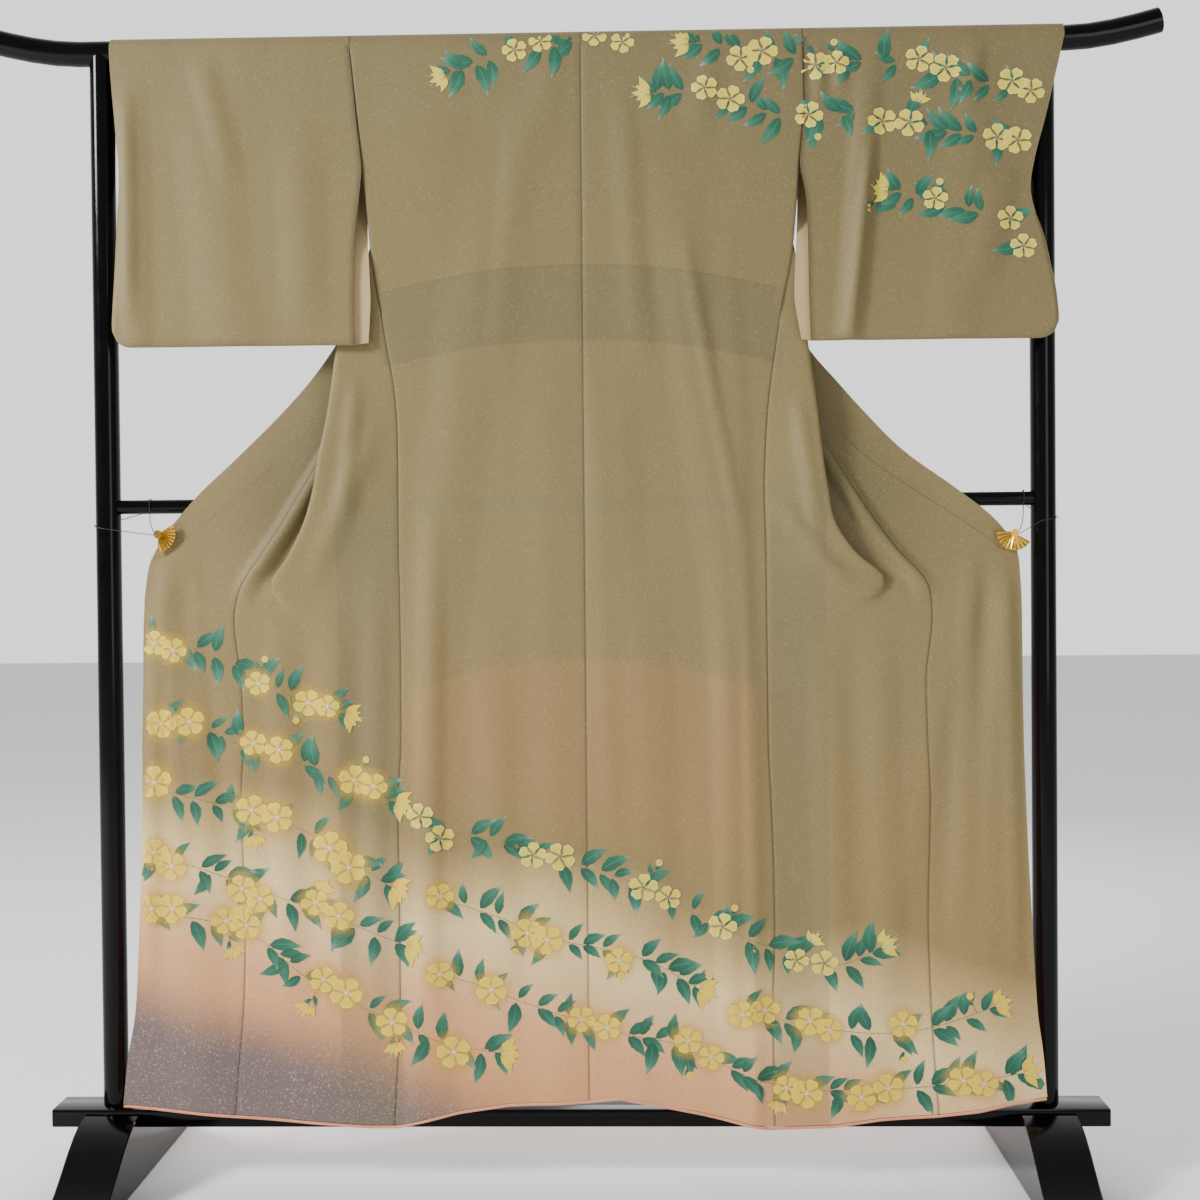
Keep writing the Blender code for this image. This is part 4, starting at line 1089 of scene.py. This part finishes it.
def silk_material():
    """Silk crepe: khaki ground shaded to cream, peach and blue-grey, with inner layers faintly showing, and
    painted shade along the seams, under the drawn folds and from the middle rail.
    """
    mat, tree, shader, position = new_material("dyed silk crepe")
    axes = node(tree, 'ShaderNodeSeparateXYZ', {'Vector': position})
    x = axes.outputs['X']
    z = axes.outputs['Z']
    # Ground, shaded up from the hem on a slant
    swing = drift(tree, position, 3.2, 1.0, 0.16)
    level = plus(tree, plus(tree, z, times(tree, x, 0.25)), swing)
    share = node(tree, 'ShaderNodeMapRange', {'Value': level, 'From Min': 0.0, 'From Max': 1.75})
    colour = ramp(tree, share.outputs['Result'], [
        (0.05, "cf945f"), (0.126, "dca473"), (0.195, "e9cb93"), (0.235, "c0a36c"),
        (0.275, "8d774a"), (0.56, "83734a"), (0.78, "7d6e46"), (0.98, "736744"),
    ])
    slope = times(tree, plus(tree, x, 0.62), 0.40)
    blue = fade(tree, plus(tree, plus(tree, z, slope), swing), 0.365, 0.225)
    blue = times(tree, blue, fade(tree, x, 0.12, -0.30))
    colour = tint(tree, colour, blue, 0.92, "635a60")
    # Tuck band and its stitches across the back
    across = away(tree, x, 0.014)
    inside = fade(tree, across, 0.300, 0.286)
    arch = times(tree, across, across, 0.45)
    lifted = plus(tree, z, arch)
    band = times(tree, fade(tree, lifted, 1.3675, 1.3645), fade(tree, lifted, 1.2530, 1.2575), inside)
    colour = tint(tree, colour, band, 0.42, "615b42")
    stitch = times(tree, fade(tree, away(tree, lifted, 1.3665), 0.0022, 0.0008), inside)
    colour = tint(tree, colour, stitch, 0.45, "655c40")
    # Painted shade of the middle rail seen through the cloth, and layers that show through from behind
    core = fade(tree, across, 0.262, 0.250)
    rail = times(tree, fade(tree, away(tree, z, 1.014), 0.018, 0.006), core)
    colour = tint(tree, colour, rail, 0.30, "756c4e")
    below = fade(tree, plus(tree, z, times(tree, arch, 1.4)), 0.790, 0.772)
    warm = times(tree, below, fade(tree, level, 0.45, 0.62), core)
    colour = tint(tree, colour, warm, 0.20, "b88455")
    edge = times(tree, fade(tree, away(tree, lifted, 0.935), 0.004, 0.001), core)
    colour = tint(tree, colour, edge, 0.12, "7a7052")
    left = times(tree, fade(tree, x, -0.352, -0.345), fade(tree, x, -0.252, -0.262))
    right = times(tree, fade(tree, x, 0.286, 0.296), fade(tree, x, 0.378, 0.370))
    allowance = times(tree, plus(tree, left, right), fade(tree, z, 1.10, 0.96))
    colour = tint(tree, colour, allowance, 0.34, "67634a")
    # Painted shade along the seams, over the seam line and the slopes of its dip
    colour = tint(tree, colour, mark(tree, "seam"), 0.70, "4c4430")
    # Painted shade under the drawn folds between the clips and the sleeves
    colour = tint(tree, colour, mark(tree, "under"), 0.50, "4f4a33")
    # Pale and dark flecks of the crepe
    fleck = noise(tree, position, 330.0, 3.0, 0.7)
    strength = plus(tree, 0.13, times(tree, blue, 0.36))
    colour = tint(tree, colour, fade(tree, fleck, 0.54, 0.70), strength, "ddd0b0")
    grain = noise(tree, position, 640.0, 1.0)
    colour = blend_colour(tree, fade(tree, grain, 0.52, 0.38, 0.0, 0.16), colour, linear("4c4530"))
    colour = tint(tree, colour, fade(tree, fleck, 0.46, 0.30), 0.16, "5f5640")
    feed(tree, shader, {'Base Color': colour, 'Roughness': 0.58, 'Specular IOR Level': 0.30,
                        'Sheen Weight': 0.03, 'Normal': crepe(tree, position, 0.60, 0.006)})
    return mat


def lining_material():
    """Plain lining silk: pale cream above, salmon towards the hem."""
    mat, tree, shader, position = new_material("lining silk")
    z = node(tree, 'ShaderNodeSeparateXYZ', {'Vector': position}).outputs['Z']
    colour = blend_colour(tree, fade(tree, z, 0.78, 0.68), linear("b79d6f"), linear("dd9270"))
    feed(tree, shader, {'Base Color': colour, 'Roughness': 0.6, 'Sheen Weight': 0.2,
                        'Normal': crepe(tree, position, 0.15)})
    return mat


def salmon_material():
    """Salmon silk of the rolled lip at the hem."""
    mat, tree, shader, position = new_material("salmon lining silk roll")
    colour = blend_colour(tree, noise(tree, position, 40.0), linear("d68560"), linear("e39d78"))
    feed(tree, shader, {'Base Color': colour, 'Roughness': 0.6, 'Normal': crepe(tree, position, 0.15)})
    return mat


def lacquer_material():
    """Black lacquer on wood: deep gloss with a faint unevenness."""
    mat, tree, shader, position = new_material("black lacquer")
    soft = noise(tree, position, 30.0)
    feed(tree, shader, {'Base Color': blend_colour(tree, soft, linear("020203"), linear("050507")),
                        'Roughness': fade(tree, soft, 0.2, 0.8, 0.10, 0.17), 'Specular IOR Level': 0.16})
    return mat


def gold_material():
    """Gold plate, a little worn in its pleats."""
    mat, tree, shader, position = new_material("gold plated brass")
    soft = noise(tree, position, 260.0)
    feed(tree, shader, {'Base Color': blend_colour(tree, soft, linear("b98a2c"), linear("e6bf55")),
                        'Roughness': fade(tree, soft, 0.3, 0.7, 0.18, 0.34), 'Metallic': 1.0})
    return mat


def cord_material():
    """Thin black braided cord."""
    mat, tree, shader, position = new_material("black braided cord")
    colour = blend_colour(tree, noise(tree, position, 900.0), linear("0c0c0e"), linear("202024"))
    feed(tree, shader, {'Base Color': colour, 'Roughness': 0.6})
    return mat


def leaf_material():
    """Teal leaf dye, bluish at the tip with a paler midrib."""
    mat, tree, shader, position = new_material("printed leaf dye")
    place = motif_place(tree)
    out = plus(tree, place['X'], drift(tree, position, 45.0, 2.0, 0.7))
    colour = ramp(tree, out, [(0.0, "124c36"), (0.45, "1e5f47"), (0.82, "3c765f"), (1.0, "84978a")])
    rib = fade(tree, calc(tree, 'ABSOLUTE', place['Y']), 0.10, 0.03)
    colour = tint(tree, colour, rib, 0.45, "528c72")
    feed(tree, shader, {'Base Color': colour, 'Roughness': 0.62, 'Normal': crepe(tree, position, 0.3)})
    return mat


def petal_material(name, centre, middle, rim):
    """Flower dye, from the eye of the flower to the petal rims."""
    mat, tree, shader, position = new_material(name)
    out = plus(tree, motif_place(tree)['X'], drift(tree, position, 60.0, 2.0, 0.3))
    colour = ramp(tree, out, [(0.0, centre), (0.35, middle), (0.85, middle), (1.0, rim)])
    feed(tree, shader, {'Base Color': colour, 'Roughness': 0.6, 'Normal': crepe(tree, position, 0.3)})
    return mat


def halo_material():
    """Soft yellow dye spread round the warm flowers, thinning outwards."""
    mat = petal_material("yellow flower shadow", "dbb030", "dfb83e", "e2c258")
    tree = mat.node_tree
    thin = fade(tree, motif_place(tree)['X'], 1.0, 0.25, 0.0, 0.62)
    feed(tree, tree.nodes["Principled BSDF"], {'Alpha': thin})
    return mat


def line_material(name, text):
    """Thin printed line."""
    mat, tree, shader, position = new_material(name)
    soft = times(tree, noise(tree, position, 50.0), 0.3)
    colour = blend_colour(tree, soft, linear(text), linear("a39069"))
    feed(tree, shader, {'Base Color': colour, 'Roughness': 0.6})
    return mat


def material(key):
    """Shared material by key, made on first use."""
    makers = {
        "silk": silk_material,
        "lining": lining_material,
        "salmon": salmon_material,
        "lacquer": lacquer_material,
        "gold": gold_material,
        "cord": cord_material,
        "leaf": leaf_material,
        "pale": lambda: petal_material("pale flower dye", "8c7a20", "d6c444", "e6da78"),
        "warm": lambda: petal_material("warm flower dye", "c49c28", "e2c130", "e8d058"),
        "halo": halo_material,
        "stem": lambda: line_material("printed stem line", "7b6a42"),
        "cream": lambda: line_material("cream stamen print", "efe5b4"),
    }
    if key not in MATERIALS:
        MATERIALS[key] = makers[key]()
    return MATERIALS[key]


def dress(obj, keys):
    """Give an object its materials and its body."""
    if len(obj.data.materials) == 0:
        for key in keys:
            obj.data.materials.append(material(key))
    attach(obj, "root")


def smooth(obj, angle):
    """Shade smooth up to an angle."""
    select_only(obj)
    bpy.ops.object.shade_smooth_by_angle(angle=math.radians(angle))


def course(knots, step):
    """Evenly spaced points and directions along a smooth line through the knots."""
    k = np.array(knots, float)
    pad = np.vstack([2 * k[0] - k[1], k, 2 * k[-1] - k[-2]])
    line = []
    for i in range(1, len(pad) - 2):
        p0, p1, p2, p3 = pad[i - 1:i + 3]
        for t in np.linspace(0, 1, 24, endpoint=False):
            line.append(0.5 * (2 * p1 + (p2 - p0) * t + (2 * p0 - 5 * p1 + 4 * p2 - p3) * t * t
                               + (3 * p1 - p0 - 3 * p2 + p3) * t ** 3))
    line.append(pad[-2])
    line = np.array(line)
    run = np.concatenate([[0], np.cumsum(np.linalg.norm(np.diff(line, axis=0), axis=1))])
    at = np.arange(0, run[-1], step)
    pts = np.stack([np.interp(at, run, line[:, c]) for c in (0, 1)], 1)
    ahead = np.stack([np.interp(at + 0.004, run, line[:, c]) for c in (0, 1)], 1)
    back = np.stack([np.interp(at - 0.004, run, line[:, c]) for c in (0, 1)], 1)
    turn = np.arctan2(*(ahead - back).T[::-1])
    return pts, turn


def spot(x, z, angle, ahead, aside=0.0):
    """Place ahead of and beside a point, along an angle."""
    ca = math.cos(angle)
    sa = math.sin(angle)
    return x + ahead * ca - aside * sa, z + ahead * sa + aside * ca


class Print:
    """Flat motifs gathered before they are laid on the cloth."""

    def __init__(self):
        self.verts = []
        self.faces = []
        self.uv = []
        self.mats = []
        self.count = 0

    def patch(self, points, faces, uv, mat):
        """Add one motif part: x, z and lift for each point."""
        first = len(self.verts)
        self.verts += points
        self.uv += uv
        for face in faces:
            self.faces.append(tuple(first + k for k in face))
            self.mats.append(mat)

    def leaf(self, x, z, angle, length, width, mat=LEAF, raised_by=0.0):
        """Serrated leaf or narrow petal from its base point."""
        steps = 8
        self.count += 1
        lift = 0.00025 + 0.00003 * (self.count % 9) + raised_by
        points = []
        uv = []
        for k in range(steps + 1):
            t = k / steps
            half = width / 2 * (math.sin(math.pi * t ** 0.72) ** 1.15 if 0 < t < 1 else 0.0)
            if k % 2:
                half *= 1.10
            bend = 0.06 * length * math.sin(math.pi * t)
            for s in (-1, 0, 1):
                points.append((*spot(x, z, angle, t * length, s * half + bend), lift))
                uv.append((t, float(s)))
        faces = []
        for k in range(steps):
            a = 3 * k
            faces += [(a, a + 1, a + 4, a + 3), (a + 1, a + 2, a + 5, a + 4)]
        self.patch(points, faces, uv, mat)

    def flower(self, x, z, angle, radius, kind):
        """Five notched petals, thin lines between them and pale stamens."""
        mat = PALE if kind == "pale" else WARM
        thread = STEM if kind == "pale" else CREAM
        self.count += 1
        low = 0.00062 + 0.00003 * (self.count % 7)
        for p in range(5):
            mid = angle + p * math.tau / 5
            points = [(x, z, low)]
            uv = [(0.0, 0.0)]
            for ring in (0.5, 1.0):
                for k in range(7):
                    s = k / 3 - 1
                    spread = 0.555 * (0.70 if ring < 1 else 1.0)
                    a = mid + s * spread
                    notch = 0.06 * max(0.0, 1 - abs(s) * 3) if ring == 1 else 0
                    r = radius * ring * (1.0 - 0.26 * abs(s) ** 2.5 - notch)
                    points.append((x + r * math.cos(a), z + r * math.sin(a) * FLOWER_SQUEEZE, low))
                    uv.append((ring, s))
            faces = [(0, k + 1, k + 2) for k in range(6)]
            faces += [(k + 1, k + 8, k + 9, k + 2) for k in range(6)]
            self.patch(points, faces, uv, mat)
        for p in range(10):
            a = angle + (p + 0.5) * math.tau / 10
            width = 0.0008 if kind == "warm" else 0.0009
            self.streak(*spot(x, z, a, 0.12 * radius), a, 0.36 * radius, width, CREAM if p % 2 else thread,
                        low + 0.00016)
        self.disc(x, z, 0.10 * radius, thread, low + 0.00018)

    def half_flower(self, x, z, angle, radius, kind):
        """Side view of an opening flower at a spray's tip."""
        mat = PALE if kind == "pale" else WARM
        for spread, length in ((-0.95, 1.0), (-0.45, 0.8), (0.05, 0.95), (0.55, 0.8), (1.0, 1.0)):
            self.leaf(x, z, angle + spread, length * radius, radius * 0.42, mat, 0.0004)
        self.streak(x, z, angle + 0.25, radius * 1.05, 0.0010, CREAM, 0.0010)
        self.streak(x, z, angle - 0.3, radius * 1.0, 0.0010, CREAM, 0.0011)

    def disc(self, x, z, radius, mat, lift, wave=0.0):
        """Small round spot, or a wavy one of several rings."""
        count = 20 if wave else 10
        rings = 5 if wave else 1
        points = [(x, z, lift)]
        uv = [(0.0, 0.0)]
        for ring in range(1, rings + 1):
            share = ring / rings
            for k in range(count):
                a = math.tau * k / count
                points.append((*spot(x, z, a, radius * share * (1 + wave * math.sin(5 * a))), lift))
                uv.append((share, 0.0))
        faces = [(0, k + 1, (k + 1) % count + 1) for k in range(count)]
        for ring in range(rings - 1):
            first = 1 + ring * count
            for k in range(count):
                m = (k + 1) % count
                faces.append((first + k, first + count + k, first + count + m, first + m))
        self.patch(points, faces, uv, mat)

    def streak(self, x, z, angle, length, width, mat, lift):
        """Thin line that narrows to its far end."""
        points = []
        uv = []
        for k in range(3):
            t = k / 2
            half = width / 2 * (1 - 0.7 * t)
            for s in (-1, 1):
                points.append((*spot(x, z, angle, t * length, s * half), lift))
                uv.append((t, float(s)))
        self.patch(points, [(0, 1, 3, 2), (2, 3, 5, 4)], uv, mat)


def spray(pad, kind, radius, seed, knots):
    """One flowering spray along its course: clusters, paired leaves, stem, buds and a half-open tip."""
    rng = np.random.RandomState(seed)
    pts, turn = course(knots, 0.010)
    n = len(pts)
    for k in range(0, n - 1):
        pad.streak(*pts[k], turn[k], 0.0105, 0.0013, STEM, 0.00025)
    k = int(rng.randint(1, 3))
    flip = 1 if rng.rand() < 0.5 else -1
    size_leaf = 0.041 if kind == "warm" else 0.042

    def side_leaf(at, way):
        """One leaf on a short stalk beside the stem."""
        angle = turn[at] + way * math.radians(rng.uniform(22, 68))
        if rng.rand() < 0.25:
            angle += way * math.radians(50)
        length = size_leaf * rng.uniform(0.72, 1.22)
        pad.leaf(*spot(*pts[at], angle, STALK), angle, length, length * rng.uniform(0.34, 0.42))

    while k < n - 4:
        for _ in range(rng.choice([1, 2, 2, 2])):
            if k >= n - 2:
                break
            x, z = spot(*pts[k], turn[k], 0.0, rng.uniform(-0.013, 0.013))
            size = radius * rng.uniform(0.76, 0.94)
            if rng.rand() < 0.9:
                side_leaf(k, flip)
                flip = -flip
            if kind == "warm":
                pad.disc(x, z, size * 1.6, HALO, 0.00056, 0.04)
            pad.flower(x, z, rng.rand() * math.tau, size, kind)
            k += int(rng.randint(3, 5))
        for _ in range(int(rng.randint(2, 5))):
            if k >= n - 1:
                break
            side_leaf(k, flip)
            if rng.rand() < 0.85:
                side_leaf(k, -flip)
            flip = -flip
            k += int(rng.randint(2, 4))
        if rng.rand() < 0.55 and k < n:
            angle = turn[k] + math.radians(rng.uniform(50, 110)) * (1 if rng.rand() < 0.6 else -1)
            reach = rng.uniform(0.026, 0.042)
            pad.streak(*pts[k], angle, reach, 0.0012, STEM, 0.0003)
            x, z = spot(*pts[k], angle, reach)
            for share, turned, length, width in ((0.5, 0.7, 0.019, 0.0065), (0.7, -0.6, 0.016, 0.0055)):
                pad.leaf(*between(pts[k], (x, z), share), angle + turned, length, width)
            if rng.rand() < 0.4:
                pad.half_flower(x, z, angle, radius * 0.8, kind)
            else:
                pad.disc(x, z, 0.0052, PALE if kind == "pale" else WARM, 0.0006)
    pad.leaf(*pts[-3], turn[-1] + 0.8, radius * 1.4, radius * 0.55)
    pad.leaf(*pts[-2], turn[-1] - 0.8, radius * 1.2, radius * 0.5)
    pad.half_flower(*pts[-1], turn[-1], radius * 1.15, kind)


def lay_print(name, pad, sheets, facing):
    """Lay flat motifs on the outermost cloth along Y, each just off the surface below it."""
    bm = bmesh.new()
    for obj in sheets:
        bm.from_mesh(obj.data)
    tree = BVHTree.FromBMesh(bm)
    bm.free()
    placed = []
    for x, z, lift in pad.verts:
        hits = [tree.ray_cast(Vector((x + side, facing * 1.0, z)), Vector((0, -facing, 0)))[0]
                for side in (-0.0016, 0.0, 0.0016)]
        if None in hits:
            placed.append(None)
        else:
            placed.append((x, max(facing * h.y for h in hits) * facing + facing * lift, z))
    keep = []
    for index, face in enumerate(pad.faces):
        spots = [placed[k] for k in face]
        if any(s is None for s in spots):
            continue
        ys = [s[1] for s in spots]
        if max(ys) - min(ys) > PRINT_STEP:
            continue
        x, y, z = (sum(s[axis] for s in spots) / len(spots) for axis in range(3))
        cloth = tree.ray_cast(Vector((x, facing * 1.0, z)), Vector((0, -facing, 0)))[0]
        if cloth is not None and facing * (cloth.y - y) < PRINT_DIP:
            keep.append(index)
    used = sorted({k for index in keep for k in pad.faces[index]})
    order = {k: i for i, k in enumerate(used)}
    mesh = bpy.data.meshes.new(name)
    faces = [tuple(order[k] for k in pad.faces[index]) for index in keep]
    mesh.from_pydata([placed[k] for k in used], [], faces)
    layer = mesh.uv_layers.new(name="motif")
    for poly, index in zip(mesh.polygons, keep):
        poly.material_index = pad.mats[index]
        for loop, k in zip(poly.loop_indices, pad.faces[index]):
            layer.data[loop].uv = pad.uv[k]
    obj = bpy.data.objects.new(name, mesh)
    COLLECTION.objects.link(obj)
    face_way(obj, facing)
    return obj


def face_way(obj, facing):
    """Turn each face of a laid print towards its viewer."""
    bm = bmesh.new()
    bm.from_mesh(obj.data)
    bm.normal_update()
    wrong = [f for f in bm.faces if f.normal.y * facing < 0]
    bmesh.ops.reverse_faces(bm, faces=wrong)
    bm.to_mesh(obj.data)
    bm.free()


def area_light(name, location, target, width, height, power):
    """Soft rectangular light aimed at a point."""
    data = bpy.data.lights.new(name, 'AREA')
    data.shape = 'RECTANGLE'
    data.size = width
    data.size_y = height
    data.energy = power
    obj = bpy.data.objects.new(name, data)
    COLLECTION.objects.link(obj)
    obj.location = location
    way = Vector(target) - Vector(location)
    obj.rotation_euler = way.to_track_quat('-Z', 'Y').to_euler()
    return obj


def set_stage(settings):
    """Pale floor, white surround, soft lights and the photograph's camera."""
    bpy.ops.mesh.primitive_plane_add(size=30.0, location=(0, 0, -0.0005))
    floor = bpy.context.active_object
    floor.name = "floor"
    pale = bpy.data.materials.new("pale floor")
    pale.use_nodes = True
    shader = pale.node_tree.nodes["Principled BSDF"]
    feed(pale.node_tree, shader, {'Base Color': linear("f4f4f4"), 'Roughness': 0.8})
    floor.data.materials.append(pale)
    world = bpy.context.scene.world or bpy.data.worlds.new("white surround")
    bpy.context.scene.world = world
    world.use_nodes = True
    tree = world.node_tree
    back = tree.nodes.get("Background") or node(tree, 'ShaderNodeBackground')
    way = node(tree, 'ShaderNodeTexCoord').outputs['Generated']
    depth = node(tree, 'ShaderNodeSeparateXYZ', {'Vector': way}).outputs['Y']
    strength = fade(tree, depth, -0.2, 0.7, settings.surround * 0.30, settings.surround)
    feed(tree, back, {'Color': (1.0, 1.0, 1.0, 1.0), 'Strength': strength})
    lights = [area_light(*row[:5], settings.key_power * row[5]) for row in LIGHTS]
    data = bpy.data.cameras.new("camera")
    camera = bpy.data.objects.new("camera", data)
    COLLECTION.objects.link(camera)
    data.sensor_width = 36.0
    data.lens = 50.0
    data.clip_end = 100.0
    camera.matrix_world = Matrix.Translation(CAMERA_PLACE) @ camera_turn()
    bpy.context.scene.camera = camera


def camera_turn():
    """Rotation of the camera, looking along +Y."""
    yaw = Matrix.Rotation(CAMERA_YAW, 4, 'Z')
    tilt = Matrix.Rotation(math.pi / 2 + CAMERA_PITCH, 4, 'X')
    roll = Matrix.Rotation(CAMERA_ROLL, 4, 'Y')
    return yaw @ roll @ tilt


class KIMONO_PG_settings(bpy.types.PropertyGroup):
    """Sizes and light levels the operators share."""

    row_step: bpy.props.FloatProperty(
        name="Row step",
        description="Spacing of the cloth rows",
        default=0.0125,
        subtype='DISTANCE',
        unit='LENGTH',
    )
    shell: bpy.props.FloatProperty(
        name="Shell",
        description="Thickness of the cloth shells",
        default=0.0008,
        subtype='DISTANCE',
        unit='LENGTH',
    )
    key_power: bpy.props.FloatProperty(
        name="Key power",
        description="Power of the main light",
        default=430.0,
        unit='POWER',
    )
    surround: bpy.props.FloatProperty(
        name="Surround",
        description="Strength of the white surround",
        default=1.45,
    )


def settings_of(context):
    """The add-on's settings."""
    return context.scene.kimono


class KIMONO_OT_stand(bpy.types.Operator):
    """Build the lacquered stand"""

    bl_idname = "kimono.stand"
    bl_label = "Build the stand"

    def execute(self, context):
        for obj in [top_rail(), mid_rail(), board()] + posts() + feet():
            name = obj.name.split(".")[0]
            obj.name = "lacquer_" + name
            smooth(obj, 40)
            dress(obj, ["lacquer"])
            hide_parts(name)
        return {'FINISHED'}


class KIMONO_OT_body(bpy.types.Operator):
    """Build the body, overlap and collar sheets"""

    bl_idname = "kimono.body"
    bl_label = "Build the body cloth"

    def execute(self, context):
        step = settings_of(context).row_step
        shell = settings_of(context).shell
        counts = (14, 2, 2, 10, 2, 2, 14)
        for side, tag in TAGS.items():
            lengths = ["back_" + tag, "shoulder_" + tag, "front_" + tag]
            overlap = "overlap_" + tag
            body = body_panel(side, counts, step, 16, 8, shell)
            finish_sheet(body, "body_" + tag, lengths)
            finish_sheet(overlap_panel(side, 18, step, shell), overlap, [overlap])
        finish_sheet(collar(8, step, shell), "collar", ["collar"])
        return {'FINISHED'}


class KIMONO_OT_sleeves(bpy.types.Operator):
    """Build the two sleeves"""

    bl_idname = "kimono.sleeves"
    bl_label = "Build the sleeves"

    def execute(self, context):
        step = settings_of(context).row_step
        shell = settings_of(context).shell
        for side, tag in TAGS.items():
            name = "sleeve_" + tag
            finish_sheet(sleeve(side, 40, 72, 16, step, shell), name, [name])
        return {'FINISHED'}


class KIMONO_OT_hem(bpy.types.Operator):
    """Build the rolled hem lip"""

    bl_idname = "kimono.hem"
    bl_label = "Build the hem roll"

    def execute(self, context):
        for side in (-1, 1):
            obj = hem_roll(side, 90)
            name = obj.name.split(".")[0]
            obj.name = "silk_" + name
            smooth(obj, 60)
            dress(obj, ["salmon"])
            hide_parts(name)
        return {'FINISHED'}


class KIMONO_OT_prints(bpy.types.Operator):
    """Lay the printed sprays on the cloth"""

    bl_idname = "kimono.prints"
    bl_label = "Lay the printed sprays"

    def execute(self, context):
        sheets = [o for o in bpy.data.objects if o.name.startswith("silk_") and "hem" not in o.name]
        if not sheets:
            raise RuntimeError("the cloth is built before its print")
        for facing, name in ((-1, "print_back"), (1, "print_far")):
            pad = Print()
            for way, kind, radius, seed, knots in SPRAYS:
                if way == facing:
                    spray(pad, kind, radius, seed, knots)
            obj = lay_print(name, pad, sheets, facing)
            dress(obj, PRINT_DYES)
        return {'FINISHED'}


class KIMONO_OT_clips(bpy.types.Operator):
    """Finish the clips and their cords"""

    bl_idname = "kimono.clips"
    bl_label = "Finish the clips and cords"

    def execute(self, context):
        for tag in TAGS.values():
            for name, key in (("fan_clip_" + tag, "gold"), ("clip_cord_" + tag, "cord")):
                obj = frame["nodes"][name]
                obj.data.materials.clear()
                obj.data.materials.append(material(key))
                if key == "cord":
                    smooth(obj, 60)
        return {'FINISHED'}


class KIMONO_OT_stage(bpy.types.Operator):
    """Set the floor, lights and camera"""

    bl_idname = "kimono.stage"
    bl_label = "Set the stage"

    def execute(self, context):
        set_stage(settings_of(context))
        return {'FINISHED'}


class KIMONO_PT_panel(bpy.types.Panel):
    """Settings and steps in the sidebar"""

    bl_idname = "KIMONO_PT_panel"
    bl_label = "Kimono on a stand"
    bl_space_type = 'VIEW_3D'
    bl_region_type = 'UI'
    bl_category = "Kimono"

    def draw(self, context):
        for key in ("row_step", "shell", "key_power", "surround"):
            self.layout.prop(settings_of(context), key)
        for step in STEPS:
            self.layout.operator(step.bl_idname)


STEPS = (
    KIMONO_OT_stand,
    KIMONO_OT_body,
    KIMONO_OT_sleeves,
    KIMONO_OT_hem,
    KIMONO_OT_prints,
    KIMONO_OT_clips,
    KIMONO_OT_stage,
)
CLASSES = (KIMONO_PG_settings,) + STEPS + (KIMONO_PT_panel,)


def finish_sheet(obj, name, nodes):
    """Name and finish one hung cloth sheet that stands in for the solids named, and hide them."""
    obj.name = "silk_" + name
    smooth(obj, 70)
    dress(obj, ["silk", "lining"])
    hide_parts(*nodes)


def register():
    """Add the classes and the settings."""
    for item in CLASSES:
        bpy.utils.register_class(item)
    bpy.types.Scene.kimono = bpy.props.PointerProperty(type=KIMONO_PG_settings)


def unregister():
    """Remove the settings and the classes."""
    del bpy.types.Scene.kimono
    for item in reversed(CLASSES):
        bpy.utils.unregister_class(item)


def main():
    """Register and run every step."""
    register()
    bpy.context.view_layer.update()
    bpy.ops.kimono.stand()
    bpy.ops.kimono.body()
    bpy.ops.kimono.sleeves()
    bpy.ops.kimono.hem()
    bpy.ops.kimono.prints()
    bpy.ops.kimono.clips()
    bpy.ops.kimono.stage()


if __name__ == "__main__":
    main()
